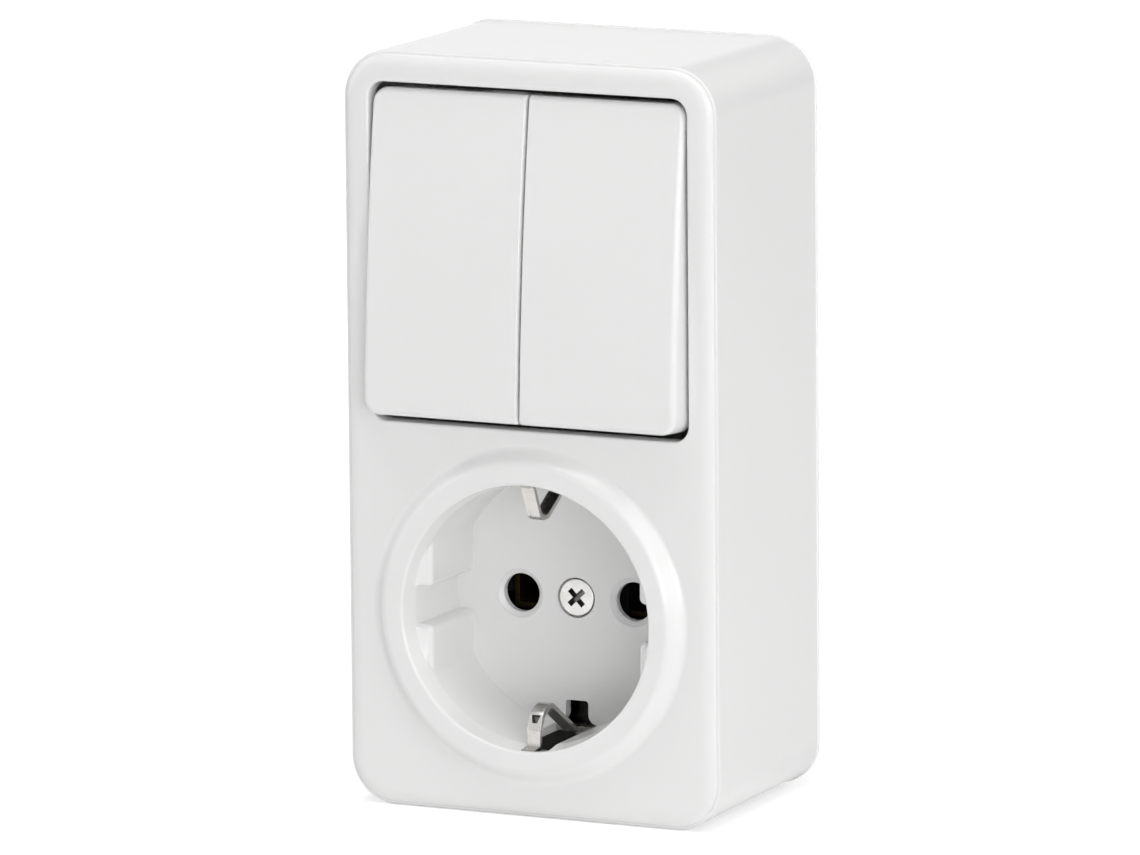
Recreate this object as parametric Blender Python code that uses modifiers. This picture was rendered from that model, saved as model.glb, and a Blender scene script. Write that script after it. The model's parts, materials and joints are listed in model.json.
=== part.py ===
import math

import bmesh
import bpy
from mathutils import Vector

# A surface-mounted unit: a twin rocker switch above an earthed socket.
# Everything is in metres. X runs to the right, Z up, and the front faces -Y.
# The origin is the middle of the wall side. "Forward" is the distance from the wall, so Y is minus it.

# Housing, whose width and height follow from what its front holds
cover_depth = 0.0384
cover_wall = 0.0020
front_wall = 0.0022
corner_radius = 0.0073
lip_radius = 0.0003
crease_width = 0.0002
crown_width = 0.00215
crown_drop = 0.0010
clearance = 0.0003

# How far a joined shape reaches into its part, and how far a cutter passes a face
overlap = 0.0005
overshoot = 0.0010
# Small steps that keep two faces out of one plane
sliver = 0.0001
hair = 0.00002

# Switch opening and the plain borders around it
opening_width = 0.05296
opening_height = 0.05207
opening_border = 0.00465
opening_side_border = 0.00442
opening_radius = 0.0026
opening_rim_wall = 0.0012
opening_rim_depth = 0.0055

# Rockers: they turn about a hinge a little behind the front
rocker_gap = 0.00055
rocker_end_gap = 0.000935
rocker_seam = 0.0004
rocker_face = 0.0050
rocker_skirt = 0.0020
rocker_wall = 0.0014
rocker_front_wall = 0.0018
rocker_crown_radius = 0.425
rocker_corner_radius = 0.0025
rocker_edge_radius = 0.0009
hinge_setback = 0.0026
rocker_tilt = 5.3
blade_ratio = 1.5

# Hooks that snap the rocker on its toggle
hook_width = 0.0080
hook_thickness = 0.0012
hook_barb = 0.0009
hook_length = 0.0048
barb_inset = 0.0002

# Toggles: a head plate, two trunnions and a tube for the plunger
toggle_width = 0.0130
toggle_height = 0.0124
toggle_plate = 0.0016
toggle_plate_lead = 0.0012
toggle_corner = 0.0010
tube_radius = 0.0033
tube_length = 0.0130
tube_floor = 0.0020
trunnion_radius = 0.0014
trunnion_reach = 0.0022

# Plungers and their springs
plunger_radius = 0.0020
plunger_tip_radius = 0.0012
plunger_cup_depth = 0.0030
plunger_cup_wall = 0.0004
plunger_start = 0.0090
plunger_nose_start = 0.0140
plunger_travel = 0.0005
spring_wire_radius = 0.00022
spring_turns = 5

# Rocking contact blades on their knife edges
blade_length = 0.0160
blade_width = 0.0052
blade_thickness = 0.0008
blade_corner = 0.0012
blade_setback = 0.0183
blade_ear = 0.0006
blade_ear_depth = 0.0018
blade_ear_height = 0.0020
knife_edge = 0.0007
knife_post_width = 0.0042
knife_post_height = 0.0018
blade_stop_height = 0.0020
contact_offset = 0.0062
contact_radius = 0.0015
contact_head = 0.0006
contact_edge = 0.00015
shank_radius = 0.0007
strip_thickness = 0.0010
tongue_width = 0.0034
tongue_end = 0.0019
busbar_width = 0.0030
busbar_end = 0.0022

# Switch body
body_side_wall = 0.002535
body_height = 0.0360
body_front_setback = 0.0048
body_floor = 0.0026
body_corner = 0.0015
chamber_height = 0.0200
chamber_corner = 0.0008
ear_thickness = 0.0020
ear_height = 0.0056
ear_lead = 0.0018
ear_play = 0.0005
snap_narrowing = 0.0004
channel_depth = 0.0016

# Screw terminals of the switch and of the socket
terminal_width = 0.0064
terminal_height = 0.0056
terminal_depth = 0.0077
terminal_margin = 0.0004
terminal_edge = 0.0005
terminal_back_wall = 0.0012
wire_hole_radius = 0.0014
terminal_screw_radius = 0.0015
terminal_head_radius = 0.0025
terminal_head_height = 0.0011
terminal_head_break = 0.0003
terminal_screw_length = 0.0055
driver_slot_width = 0.0008
driver_slot_depth = 0.0006

# Screws that hold the switch body and the socket insert
fixing_screw_radius = 0.0015
fixing_head_radius = 0.0027
fixing_head_height = 0.0018
fixing_grip = 0.0040
fixing_bite = 0.0050
fixing_head_cone = 0.0007
fixing_point = 0.0015
fixing_tip_radius = 0.0004
post_radius = 0.0038

# Base plate
plate_thickness = 0.0024
plate_corner_radius = 0.0050
pilot_floor = 0.0006
wall_slot_length = 0.0076
wall_slot_width = 0.0038
wall_slot_side_inset = 0.0086
wall_slot_inset = 0.0060
cable_entry_width = 0.0200
cable_entry_height = 0.0064
cable_entry_inset = 0.0022
cable_entry_corner = 0.0025

# Socket ring and bowl, with the plain strips above and below the ring
ring_top_border = 0.00223
ring_bottom_border = 0.00485
ring_rise = 0.0021
ring_face_width = 0.0027
ring_flank_width = 0.0031
ring_foot_sink = 0.0001
mouth_step = 0.0005
mouth_lip = 0.0005
ledge_step = 0.0001
ledge_setback = 0.0016
bowl_radius = 0.0200
bowl_depth = 0.0164
bowl_wall = 0.0018
bowl_floor_thickness = 0.0018
boss_radius = 0.0046
boss_drop = 0.0014
side_flat_depth = 0.0027
side_slot_half_height = 0.0029
side_slot_fillet = 0.0008

# Pin holes and the cover screw
pin_spacing = 0.0190
pin_hole_radius = 0.0030
pin_lead_radius = 0.0037
pin_lead_depth = 0.0008
cover_screw_radius = 0.0015
cover_head_radius = 0.0029
cover_head_edge = 0.0006
cover_head_break = 0.0002
cover_head_sink = 0.0001
cover_head_gap = 0.00025
cover_screw_length = 0.0125
cover_screw_point = 0.0008
cross_length = 0.0034
cross_width = 0.0008
cross_depth = 0.0009

# Earth slots and the folded earth strap, whose legs stand just outside the bowl
earth_slot_half_width = 0.0018
earth_window_half_width = 0.0034
earth_slot_reach = 0.0040
earth_slot_front = 0.0009
earth_slot_fillet = 0.0005
earth_neck_length = 0.0021
earth_channel_reach = 0.0010
earth_window_front = 0.0085
strap_thickness = 0.0008
strap_leg_play = 0.0005
clip_width = 0.0022
clip_reach = 0.0051
clip_crest_radius = 0.0013
clip_nose_radius = 0.0016
clip_nose_setback = 0.0038
strap_bend_radius = 0.0011
strap_plate_width = 0.0080
strap_plate_inset = 0.0037
strap_plate_corner = 0.0015
earth_arm_height = 0.0048
# The straight runs of a sprung clip, as pairs of setback and reach into the bowl
clip_front_run = (0.0015, 0.0030)
clip_tail = [(0.0108, 0.0013), (0.0132, -0.0003)]

# Socket insert, whose width follows from its terminals
insert_height = 0.0404
insert_depth = 0.0114
insert_radius = 0.0040
leaf_gap = 0.0048
leaf_thickness = 0.0008
leaf_width = 0.0050
contact_depth = 0.0100
terminal_offset = 0.0072
terminal_side_inset = 0.0045
terminal_end_inset = 0.0038
clamp_rise = 0.0006
pin_arm_lift = 0.0003
pin_arm_end = 0.0010
nut_thickness = 0.0036
insert_screw_offset = 0.0007
insert_screw_inset = 0.0047

# Places that follow from the sizes
front = cover_depth
mouth_radius = bowl_radius + mouth_step
ledge_radius = bowl_radius + ledge_step
ring_face_radius = mouth_radius + ring_face_width
ring_foot_radius = ring_face_radius + ring_flank_width
flat_half_width = bowl_radius - side_flat_depth
strap_leg_radius = bowl_radius + bowl_wall + strap_leg_play + strap_thickness / 2
strap_plate_reach = strap_leg_radius - strap_plate_inset
earth_slot_inner = bowl_radius - earth_slot_reach
earth_slot_outer = strap_leg_radius + strap_thickness / 2 + strap_leg_play
earth_channel_inner = bowl_radius - earth_channel_reach
cover_width = opening_width + 2 * opening_side_border
socket_band = ring_top_border + 2 * ring_foot_radius + ring_bottom_border
cover_height = opening_border + opening_height + socket_band
switch_z = cover_height / 2 - opening_border - opening_height / 2
socket_z = ring_bottom_border + ring_foot_radius - cover_height / 2
hinge = front - hinge_setback
rocker_outer = opening_width / 2 - rocker_gap
rocker_inner = rocker_seam / 2
rocker_height = opening_height - 2 * rocker_end_gap
toggle_x = (rocker_outer + rocker_inner) / 2
body_width = 2 * (toggle_x + toggle_width / 2 + clearance + body_side_wall)
blade_pivot = hinge - blade_setback
blade_tilt = blade_ratio * rocker_tilt
body_front = hinge - body_front_setback
bowl_floor = front - bowl_depth
bowl_back = bowl_floor - bowl_floor_thickness
boss_back = bowl_back - boss_drop
strap_front = boss_back - clearance
insert_front = strap_front - strap_thickness - clearance
insert_back = insert_front - insert_depth
clamp_back = insert_front + clamp_rise - terminal_depth
terminal_x = pin_spacing / 2 + terminal_offset
insert_width = 2 * (terminal_x + terminal_side_inset)
terminal_z = insert_height / 2 - terminal_end_inset
insert_screw_x = pin_spacing / 2 - insert_screw_offset
insert_screw_z = insert_height / 2 - insert_screw_inset

# The contacts close when the blade tilts the other way
closed_reach = (
    (blade_thickness / 2 + clearance + contact_head) * math.cos(math.radians(blade_tilt))
    + (contact_offset + contact_radius) * math.sin(math.radians(blade_tilt))
)
fixed_contact_front = blade_pivot - closed_reach - clearance
tongue_front = fixed_contact_front - contact_head - clearance
chamber_floor = tongue_front - strip_thickness - clearance
body_back = chamber_floor - body_floor


def clear_scene():
    for old in list(bpy.data.objects):
        bpy.data.objects.remove(old)


def new_collection(name):
    made = bpy.data.collections.new(name)
    bpy.context.scene.collection.children.link(made)
    return made


def new_finish(name, colour, roughness, metallic=0.0):
    finish = bpy.data.materials.new(name)
    finish.use_nodes = True
    shader = finish.node_tree.nodes["Principled BSDF"]
    shader.inputs["Base Color"].default_value = (*colour, 1.0)
    shader.inputs["Roughness"].default_value = roughness
    shader.inputs["Metallic"].default_value = metallic
    return finish


clear_scene()
parts = new_collection("switch_and_socket_combination")
tools = new_collection("cutters")

white_plastic = (0.80, 0.80, 0.78)
grey_plastic = (0.55, 0.55, 0.53)
black_plastic = (0.05, 0.05, 0.05)
nickel = (0.62, 0.60, 0.56)
brass_colour = (0.72, 0.53, 0.24)


def add_part(name, mesh, colour, roughness, metallic=0.0, parent=None):
    part = bpy.data.objects.new(name, mesh)
    parts.objects.link(part)
    mesh.materials.append(new_finish(name + "_finish", colour, roughness, metallic))
    part.parent = parent
    return part


def add_tool(mesh):
    tool = bpy.data.objects.new(mesh.name, mesh)
    tools.objects.link(tool)
    tool.hide_render = True
    tool.display_type = "WIRE"
    return tool


def combine(part, tool, operation):
    tool.parent = part.parent
    step = part.modifiers.new(operation.lower() + "_" + tool.name, "BOOLEAN")
    step.operation = operation
    step.object = tool


def cut(part, tool):
    combine(part, tool, "DIFFERENCE")


def join(part, tool):
    combine(part, tool, "UNION")


def block_mesh(name, x, forward, z, radius=0.0, segments=3):
    """A box between pairs of limits, its four edges along Y rounded where a radius is given."""
    shape = bmesh.new()
    bmesh.ops.create_cube(shape, size=1.0)
    size = Vector((x[1] - x[0], forward[1] - forward[0], z[1] - z[0]))
    middle = Vector((x[0] + x[1], -forward[0] - forward[1], z[0] + z[1])) / 2
    bmesh.ops.scale(shape, vec=size, verts=shape.verts)
    bmesh.ops.translate(shape, vec=middle, verts=shape.verts)
    if radius:
        long_edges = [edge for edge in shape.edges if runs_along(edge, 1)]
        bmesh.ops.bevel(
            shape, geom=long_edges, offset=radius, segments=segments, affect="EDGES", profile=0.5
        )
    mesh = bpy.data.meshes.new(name)
    shape.to_mesh(mesh)
    shape.free()
    return mesh


def runs_along(edge, axis):
    run = edge.verts[0].co - edge.verts[1].co
    return abs(run[axis]) > 0.999 * run.length


def rod_mesh(name, radius, start, end, sides=20):
    """A round bar between two points, given as x, forward and z."""
    low = Vector((start[0], -start[1], start[2]))
    high = Vector((end[0], -end[1], end[2]))
    shape = bmesh.new()
    length = (high - low).length
    bmesh.ops.create_cone(
        shape, cap_ends=True, segments=sides, radius1=radius, radius2=radius, depth=length
    )
    turn = Vector((0, 0, 1)).rotation_difference(high - low).to_matrix()
    bmesh.ops.rotate(shape, matrix=turn, verts=shape.verts)
    bmesh.ops.translate(shape, vec=(low + high) / 2, verts=shape.verts)
    mesh = bpy.data.meshes.new(name)
    shape.to_mesh(mesh)
    shape.free()
    mesh.shade_smooth()
    mesh.set_sharp_from_angle(angle=math.radians(40))
    return mesh


def profile_mesh(name, profile):
    """Points of (radius, forward), which run down the outer side from the front."""
    mesh = bpy.data.meshes.new(name)
    points = [(radius, 0, forward) for radius, forward in profile]
    mesh.from_pydata(points, [(i, i + 1) for i in range(len(points) - 1)], [])
    return mesh


def turn_about_axis(made, x, z, steps):
    """Turns a profile about the line along Y through x and z."""
    made.location = (x, 0, z)
    made.rotation_euler = (math.radians(90), 0, 0)
    screw = made.modifiers.new("turned", "SCREW")
    screw.steps = steps
    screw.render_steps = steps
    screw.use_merge_vertices = True
    screw.merge_threshold = 0.00001
    screw.use_smooth_shade = True
    return made


def outline_mesh(name, outline, forward):
    """A flat outline of (x, z) points, as thick as the pair of limits says."""
    curve = bpy.data.curves.new(name, "CURVE")
    curve.dimensions = "2D"
    curve.fill_mode = "NONE"
    curve.extrude = (forward[1] - forward[0]) / 2
    line = curve.splines.new("POLY")
    line.points.add(len(outline) - 1)
    for point, (x, z) in zip(line.points, outline):
        point.co = (x, z, 0, 1)
    line.use_cyclic_u = True
    guide = bpy.data.objects.new(name, curve)
    tools.objects.link(guide)
    guide.location = (0, -(forward[0] + forward[1]) / 2, 0)
    guide.rotation_euler = (math.radians(90), 0, 0)
    bpy.context.view_layer.update()
    mesh = bpy.data.meshes.new_from_object(guide.evaluated_get(bpy.context.evaluated_depsgraph_get()))
    mesh.transform(guide.matrix_world)
    bpy.data.objects.remove(guide)
    shape = bmesh.new()
    shape.from_mesh(mesh)
    bmesh.ops.remove_doubles(shape, verts=shape.verts, dist=0.000001)
    bmesh.ops.holes_fill(shape, edges=shape.edges, sides=0)
    bmesh.ops.recalc_face_normals(shape, faces=shape.faces)
    shape.to_mesh(mesh)
    shape.free()
    return mesh


def strip_mesh(name, path, width):
    """An open ribbon that follows a path of (forward, z) points."""
    shape = bmesh.new()
    points = [shape.verts.new((-width / 2, -forward, z)) for forward, z in path]
    edges = [shape.edges.new(pair) for pair in zip(points, points[1:])]
    made = bmesh.ops.extrude_edge_only(shape, edges=edges)
    moved = [item for item in made["geom"] if isinstance(item, bmesh.types.BMVert)]
    bmesh.ops.translate(shape, vec=(width, 0, 0), verts=moved)
    mesh = bpy.data.meshes.new(name)
    shape.to_mesh(mesh)
    shape.free()
    return mesh


def arc(middle, radius, start, end, steps):
    """Points on an arc, its angles in degrees."""
    angles = [math.radians(start + (end - start) * i / steps) for i in range(steps + 1)]
    return [(middle[0] + radius * math.cos(a), middle[1] + radius * math.sin(a)) for a in angles]


def centred(middle, size):
    return (middle - size / 2, middle + size / 2)


def wider(limits, margin=clearance):
    return (limits[0] - margin, limits[1] + margin)


def cover_shell():
    """The outer block with its crowned front edge."""
    lip_drop = crown_drop + lip_radius
    mesh = block_mesh(
        "cover",
        centred(0, cover_width),
        (0, front - lip_drop),
        centred(0, cover_height),
        corner_radius,
        9,
    )
    rise = [(lip_radius + x, y) for x, y in arc((0, 0), lip_radius, 180, 90, 2)]
    rise.append((lip_radius + crease_width, lip_radius))
    crown_start = lip_radius + crease_width
    for step in range(1, 7):
        turn = math.radians(15 * step)
        inward = crown_start + crown_width * (1 - math.cos(turn))
        rise.append((inward, lip_radius + crown_drop * math.sin(turn)))
    shape = bmesh.new()
    shape.from_mesh(mesh)
    face = min(shape.faces, key=lambda one: one.calc_center_median().y)
    for before, after in zip(rise, rise[1:]):
        bmesh.ops.inset_region(
            shape,
            faces=[face],
            thickness=after[0] - before[0],
            depth=after[1] - before[1],
            use_even_offset=True,
        )
    shape.to_mesh(mesh)
    shape.free()
    return mesh


def ring_profile():
    """The raised ring, the bowl's outside and the screw boss, from the front down."""
    top = front + ring_rise
    flank = []
    for step in range(7):
        share = step / 6
        ease = share * share * (3 - 2 * share)
        flank.append(
            (
                ring_face_radius + (ring_foot_radius - ring_face_radius) * share,
                top - (ring_rise + ring_foot_sink) * ease,
            )
        )
    outer = bowl_radius + bowl_wall
    skirt = front - front_wall / 2
    return [
        (0, top),
        *flank,
        (ring_foot_radius, skirt),
        (outer, skirt),
        (outer, bowl_back),
        (boss_radius, bowl_back),
        (boss_radius, boss_back),
        (0, boss_back),
    ]


def mouth_profile():
    """The cutter for the mouth, from its rounded lip to the ledge of the side flats."""
    top = front + ring_rise
    lip = arc((mouth_radius + mouth_lip, top - mouth_lip), mouth_lip, 90, 180, 4)
    return [
        (0, top + 2 * overshoot),
        (mouth_radius + 2 * mouth_lip, top + 2 * overshoot),
        (mouth_radius + 2 * mouth_lip, top + mouth_lip / 4),
        *lip[1:],
        (ledge_radius, front - ledge_setback),
        (0, front - ledge_setback),
    ]


def recess_outline():
    """A circle with a flat on each side, each flat split by a slot with rounded corners."""
    edge = math.degrees(math.acos(flat_half_width / bowl_radius))
    slot = math.degrees(math.asin(side_slot_half_height / bowl_radius))
    fillet = side_slot_fillet
    corner = (flat_half_width + fillet, side_slot_half_height + fillet)
    right = [
        *arc((corner[0], -corner[1]), fillet, 180, 90, 3),
        *arc((0, 0), bowl_radius, -slot, slot, 3),
        *arc(corner, fillet, -90, -180, 3),
    ]
    left = [(-x, -z) for x, z in right]
    top = arc((0, 0), bowl_radius, edge, 180 - edge, 24)
    bottom = arc((0, 0), bowl_radius, 180 + edge, 360 - edge, 24)
    return [(x, z + socket_z) for x, z in [*right, *top, *left, *bottom]]


def earth_slot_outline(side):
    """The notch in the bowl's floor, which curves out to a window in its wall."""
    narrow, wide = earth_slot_half_width, earth_window_half_width
    fillet = earth_slot_fillet
    neck_end = earth_slot_inner + earth_neck_length
    half = [
        *arc((narrow - fillet, earth_slot_inner + fillet), fillet, -90, 0, 3),
        *arc((wide, neck_end), wide - narrow, 180, 90, 4),
        (wide, earth_slot_outer),
    ]
    outline = [*half, *[(-x, z) for x, z in reversed(half)]]
    return [(x, socket_z + side * z) for x, z in outline]


def make_cover():
    cover = add_part("cover", cover_shell(), white_plastic, 0.25)
    hollow = block_mesh(
        "cover_hollow",
        centred(0, cover_width - 2 * cover_wall),
        (-overshoot, front - front_wall),
        centred(0, cover_height - 2 * cover_wall),
        corner_radius - cover_wall,
        5,
    )
    cut(cover, add_tool(hollow))
    around = opening_rim_wall
    rim = block_mesh(
        "opening_rim",
        centred(0, opening_width + 2 * around),
        (front - opening_rim_depth, front - front_wall / 2),
        centred(switch_z, opening_height + 2 * around),
        opening_radius + around,
        5,
    )
    join(cover, add_tool(rim))
    opening = block_mesh(
        "rocker_opening",
        centred(0, opening_width),
        (front - opening_rim_depth - overshoot, front + overshoot),
        centred(switch_z, opening_height),
        opening_radius,
        5,
    )
    cut(cover, add_tool(opening))
    ring = turn_about_axis(add_tool(profile_mesh("ring_and_bowl", ring_profile())), 0, socket_z, 64)
    join(cover, ring)
    mouth = turn_about_axis(add_tool(profile_mesh("bowl_mouth", mouth_profile())), 0, socket_z, 64)
    cut(cover, mouth)
    recess = outline_mesh("bowl_recess", recess_outline(), (bowl_floor, front - ledge_setback + overlap))
    cut(cover, add_tool(recess))
    for side in (-1, 1):
        cut_earth_slot(cover, side)
        cut_pin_hole(cover, side)
    cut_screw_hole(cover)
    return cover


def cut_earth_slot(cover, side):
    window = outline_mesh(
        "earth_window", earth_slot_outline(side), (boss_back - overshoot, front - earth_window_front)
    )
    cut(cover, add_tool(window))
    limits = (socket_z + side * earth_channel_inner, socket_z + side * (earth_slot_outer - sliver))
    channel = block_mesh(
        "earth_channel",
        centred(0, 2 * earth_slot_half_width),
        (front - earth_window_front - overshoot, front + earth_slot_front),
        sorted(limits),
    )
    cut(cover, add_tool(channel))


def cut_pin_hole(cover, side):
    profile = [
        (0, bowl_floor + overshoot),
        (pin_lead_radius, bowl_floor + overshoot),
        (pin_lead_radius, bowl_floor),
        (pin_hole_radius, bowl_floor - pin_lead_depth),
        (pin_hole_radius, bowl_back - overshoot),
        (0, bowl_back - overshoot),
    ]
    hole = add_tool(profile_mesh("pin_hole", profile))
    cut(cover, turn_about_axis(hole, side * pin_spacing / 2, socket_z, 24))


def cut_screw_hole(cover):
    head = cover_head_radius + cover_head_gap
    shank = cover_screw_radius + clearance
    seat = bowl_floor - cover_head_edge - clearance
    profile = [
        (0, bowl_floor + overshoot),
        (head, bowl_floor + overshoot),
        (head, seat),
        (shank, seat - (head - shank)),
        (shank, boss_back - overshoot),
        (0, boss_back - overshoot),
    ]
    hole = add_tool(profile_mesh("cover_screw_hole", profile))
    cut(cover, turn_about_axis(hole, 0, socket_z, 24))


def make_cover_screw():
    top = bowl_floor - cover_head_sink
    end = top - cover_screw_length
    edge = top - cover_head_edge
    cone = cover_head_radius - cover_screw_radius
    profile = [
        (0, top),
        (cover_head_radius - cover_head_break, top),
        (cover_head_radius, top - cover_head_break),
        (cover_head_radius, edge),
        (cover_screw_radius, edge - cone),
        (cover_screw_radius, end + cover_screw_point),
        (cover_screw_radius - cover_screw_point, end),
        (0, end),
    ]
    screw = add_part("cover_screw", profile_mesh("cover_screw", profile), nickel, 0.3, 1.0)
    turn_about_axis(screw, 0, socket_z, 24)
    for angle in (45, 135):
        slot = block_mesh(
            "cross_recess",
            centred(0, cross_length),
            (top - cross_depth, top + overshoot),
            centred(0, cross_width),
        )
        tool = add_tool(slot)
        cut(screw, tool)
        tool.location = (0, 0, socket_z)
        tool.rotation_euler = (0, math.radians(angle), 0)


def make_pivot(name, x, forward, tilt):
    """An empty on a joint's axis, tilted about X as the piece rests."""
    pivot = bpy.data.objects.new(name, None)
    parts.objects.link(pivot)
    pivot.location = (x, -forward, switch_z)
    pivot.rotation_euler = (math.radians(tilt), 0, 0)
    return pivot


def rocker_cap(side):
    """A rocker's solid cap: rounded outer corners, a crowned face and a soft front edge."""
    half = (rocker_outer - rocker_inner) / 2
    mesh = block_mesh("rocker", (-half, half), (-rocker_skirt, rocker_face), centred(0, rocker_height))
    shape = bmesh.new()
    shape.from_mesh(mesh)
    corners = [edge for edge in shape.edges if runs_along(edge, 1) and edge.verts[0].co.x * side > 0]
    bmesh.ops.bevel(
        shape, geom=corners, offset=rocker_corner_radius, segments=6, affect="EDGES", profile=0.5
    )
    for step in range(1, 12):
        level = rocker_height * (step / 12 - 0.5)
        bmesh.ops.bisect_plane(
            shape, geom=[*shape.verts, *shape.edges, *shape.faces], plane_co=(0, 0, level), plane_no=(0, 0, 1)
        )
    for point in shape.verts:
        if point.co.y < -rocker_face + sliver:
            point.co.y += point.co.z**2 / (2 * rocker_crown_radius)
    shape.normal_update()
    rim = [edge for edge in shape.edges if is_front_rim(edge, side * -half)]
    bmesh.ops.bevel(shape, geom=rim, offset=rocker_edge_radius, segments=3, affect="EDGES", profile=0.5)
    shape.to_mesh(mesh)
    shape.free()
    return mesh


def is_front_rim(edge, seam_x):
    facing = [face.normal.y < -0.9 for face in edge.link_faces]
    along_seam = all(abs(point.co.x - seam_x) < hair for point in edge.verts)
    return len(facing) == 2 and facing[0] != facing[1] and not along_seam


def make_rocker(name, side, pivot):
    rocker = add_part(name, rocker_cap(side), white_plastic, 0.25, parent=pivot)
    half = (rocker_outer - rocker_inner) / 2
    inner_face = rocker_face - rocker_front_wall
    hollow = block_mesh(
        "rocker_hollow",
        centred(0, 2 * (half - rocker_wall)),
        (-rocker_skirt - overshoot, inner_face),
        centred(0, rocker_height - 2 * rocker_wall),
        rocker_corner_radius - rocker_wall,
        2,
    )
    cut(rocker, add_tool(hollow))
    for end in (-1, 1):
        inside = end * (toggle_height / 2 + clearance)
        outside = inside + end * hook_thickness
        arm = block_mesh(
            "rocker_hook",
            centred(0, hook_width),
            (inner_face - hook_length, inner_face + overlap),
            sorted((inside, outside)),
        )
        join(rocker, add_tool(arm))
        barb_top = toggle_plate_lead - clearance
        barb = block_mesh(
            "hook_barb",
            centred(0, hook_width - 2 * barb_inset),
            (inner_face - hook_length + barb_inset, barb_top),
            sorted((inside - end * hook_barb, inside + end * overlap)),
        )
        join(rocker, add_tool(barb))
    return rocker


def make_toggle(name, pivot):
    plate = block_mesh(
        name,
        centred(0, toggle_width),
        (toggle_plate_lead, toggle_plate_lead + toggle_plate),
        centred(0, toggle_height),
        toggle_corner,
        2,
    )
    toggle = add_part(name, plate, grey_plastic, 0.5, parent=pivot)
    tube = rod_mesh("toggle_tube", tube_radius, (0, toggle_plate_lead + overlap, 0), (0, -tube_length, 0), 18)
    join(toggle, add_tool(tube))
    reach = toggle_width / 2 + trunnion_reach
    trunnions = rod_mesh("toggle_trunnions", trunnion_radius, (-reach, 0, 0), (reach, 0, 0), 16)
    join(toggle, add_tool(trunnions))
    bore = rod_mesh(
        "toggle_bore", plunger_radius + clearance, (0, -tube_floor, 0), (0, -tube_length - overshoot, 0), 16
    )
    cut(toggle, add_tool(bore))
    return toggle


def plunger_tip_centre():
    """How far behind the hinge the tip's round end lies, so that it just clears the tilted blade."""
    swing = math.radians(rocker_tilt)
    tilt = math.radians(blade_tilt)
    wanted = plunger_tip_radius + blade_thickness / 2 + clearance
    return (blade_setback * math.cos(tilt) - wanted) / (
        math.cos(tilt) * math.cos(swing) - math.sin(tilt) * math.sin(swing)
    )


def make_plunger(name, pivot):
    """A hollow pin whose cup holds the end of the spring. Its round tip faces the wall."""
    centre = plunger_tip_centre()
    tip = arc((0, -centre), plunger_tip_radius, -90, -10, 4)
    cup = plunger_radius - plunger_cup_wall
    profile = [
        (0, -plunger_start - plunger_cup_depth),
        (cup, -plunger_start - plunger_cup_depth),
        (cup, -plunger_start),
        (plunger_radius, -plunger_start),
        (plunger_radius, -plunger_nose_start),
        *reversed(tip),
    ]
    profile[-1] = (0, profile[-1][1])
    plunger = add_part(name, profile_mesh(name, profile), grey_plastic, 0.4, parent=pivot)
    turn_about_axis(plunger, 0, 0, 16)
    return plunger


def make_spring(name, pivot):
    """A coil between the toggle's bore and the plunger's cup."""
    start = tube_floor + clearance + spring_wire_radius
    end = plunger_start + plunger_cup_depth - clearance - plunger_travel - spring_wire_radius
    coil_radius = plunger_radius - plunger_cup_wall - clearance - spring_wire_radius
    curve = bpy.data.curves.new(name, "CURVE")
    curve.dimensions = "3D"
    curve.bevel_depth = spring_wire_radius
    curve.bevel_resolution = 1
    curve.use_fill_caps = True
    steps = spring_turns * 8
    line = curve.splines.new("POLY")
    line.points.add(steps)
    for step, point in enumerate(line.points):
        turn = 2 * math.pi * spring_turns * step / steps
        depth = start + (end - start) * step / steps
        point.co = (coil_radius * math.cos(turn), depth, coil_radius * math.sin(turn), 1)
    spring = bpy.data.objects.new(name, curve)
    parts.objects.link(spring)
    curve.materials.append(new_finish(name + "_finish", nickel, 0.35, 1.0))
    spring.parent = pivot
    return spring


def make_blade(name, pivot):
    half = blade_thickness / 2
    plate = block_mesh(
        name, centred(0, blade_width), (-half, half), centred(0, blade_length), blade_corner, 3
    )
    blade = add_part(name, plate, brass_colour, 0.35, 1.0, parent=pivot)
    for side in (-1, 1):
        outer = side * (blade_width / 2 + blade_ear)
        inner = side * (blade_width / 2 - sliver)
        ear = block_mesh(
            "blade_ear", sorted((inner, outer)), (-blade_ear_depth, half - hair), centred(0, blade_ear_height)
        )
        join(blade, add_tool(ear))
    hole = rod_mesh(
        "rivet_hole",
        shank_radius + clearance,
        (0, -half - overshoot, contact_offset),
        (0, half + overshoot, contact_offset),
        12,
    )
    cut(blade, add_tool(hole))
    return blade


def rivet_profile(head_face, seat, shank_end, toward_wall):
    """A contact rivet: a flat head with a softened edge, and a shank through its strip."""
    step = 1 if toward_wall else -1
    points = [
        (0, shank_end),
        (shank_radius, shank_end),
        (shank_radius, seat),
        (contact_radius, seat),
        (contact_radius, head_face + step * contact_edge),
        (contact_radius - contact_edge, head_face),
        (0, head_face),
    ]
    return points if toward_wall else points[::-1]


def make_moving_contact(name, pivot):
    seat = -blade_thickness / 2 - clearance
    profile = rivet_profile(seat - contact_head, seat, blade_thickness / 2 - sliver, True)
    rivet = add_part(name, profile_mesh(name, profile), nickel, 0.25, 1.0, parent=pivot)
    turn_about_axis(rivet, 0, contact_offset, 14)


def make_fixed_contact(name, side):
    seat = fixed_contact_front - contact_head
    shank_end = tongue_front - strip_thickness + sliver
    profile = rivet_profile(fixed_contact_front, seat, shank_end, False)
    rivet = add_part(name, profile_mesh(name, profile), nickel, 0.25, 1.0)
    turn_about_axis(rivet, side * toggle_x, switch_z + contact_offset, 14)


def terminal_z_range():
    """The screw terminals of the switch, as a pair of distances from its middle."""
    outer = body_height / 2 - terminal_margin
    return (outer - terminal_height, outer)


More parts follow.
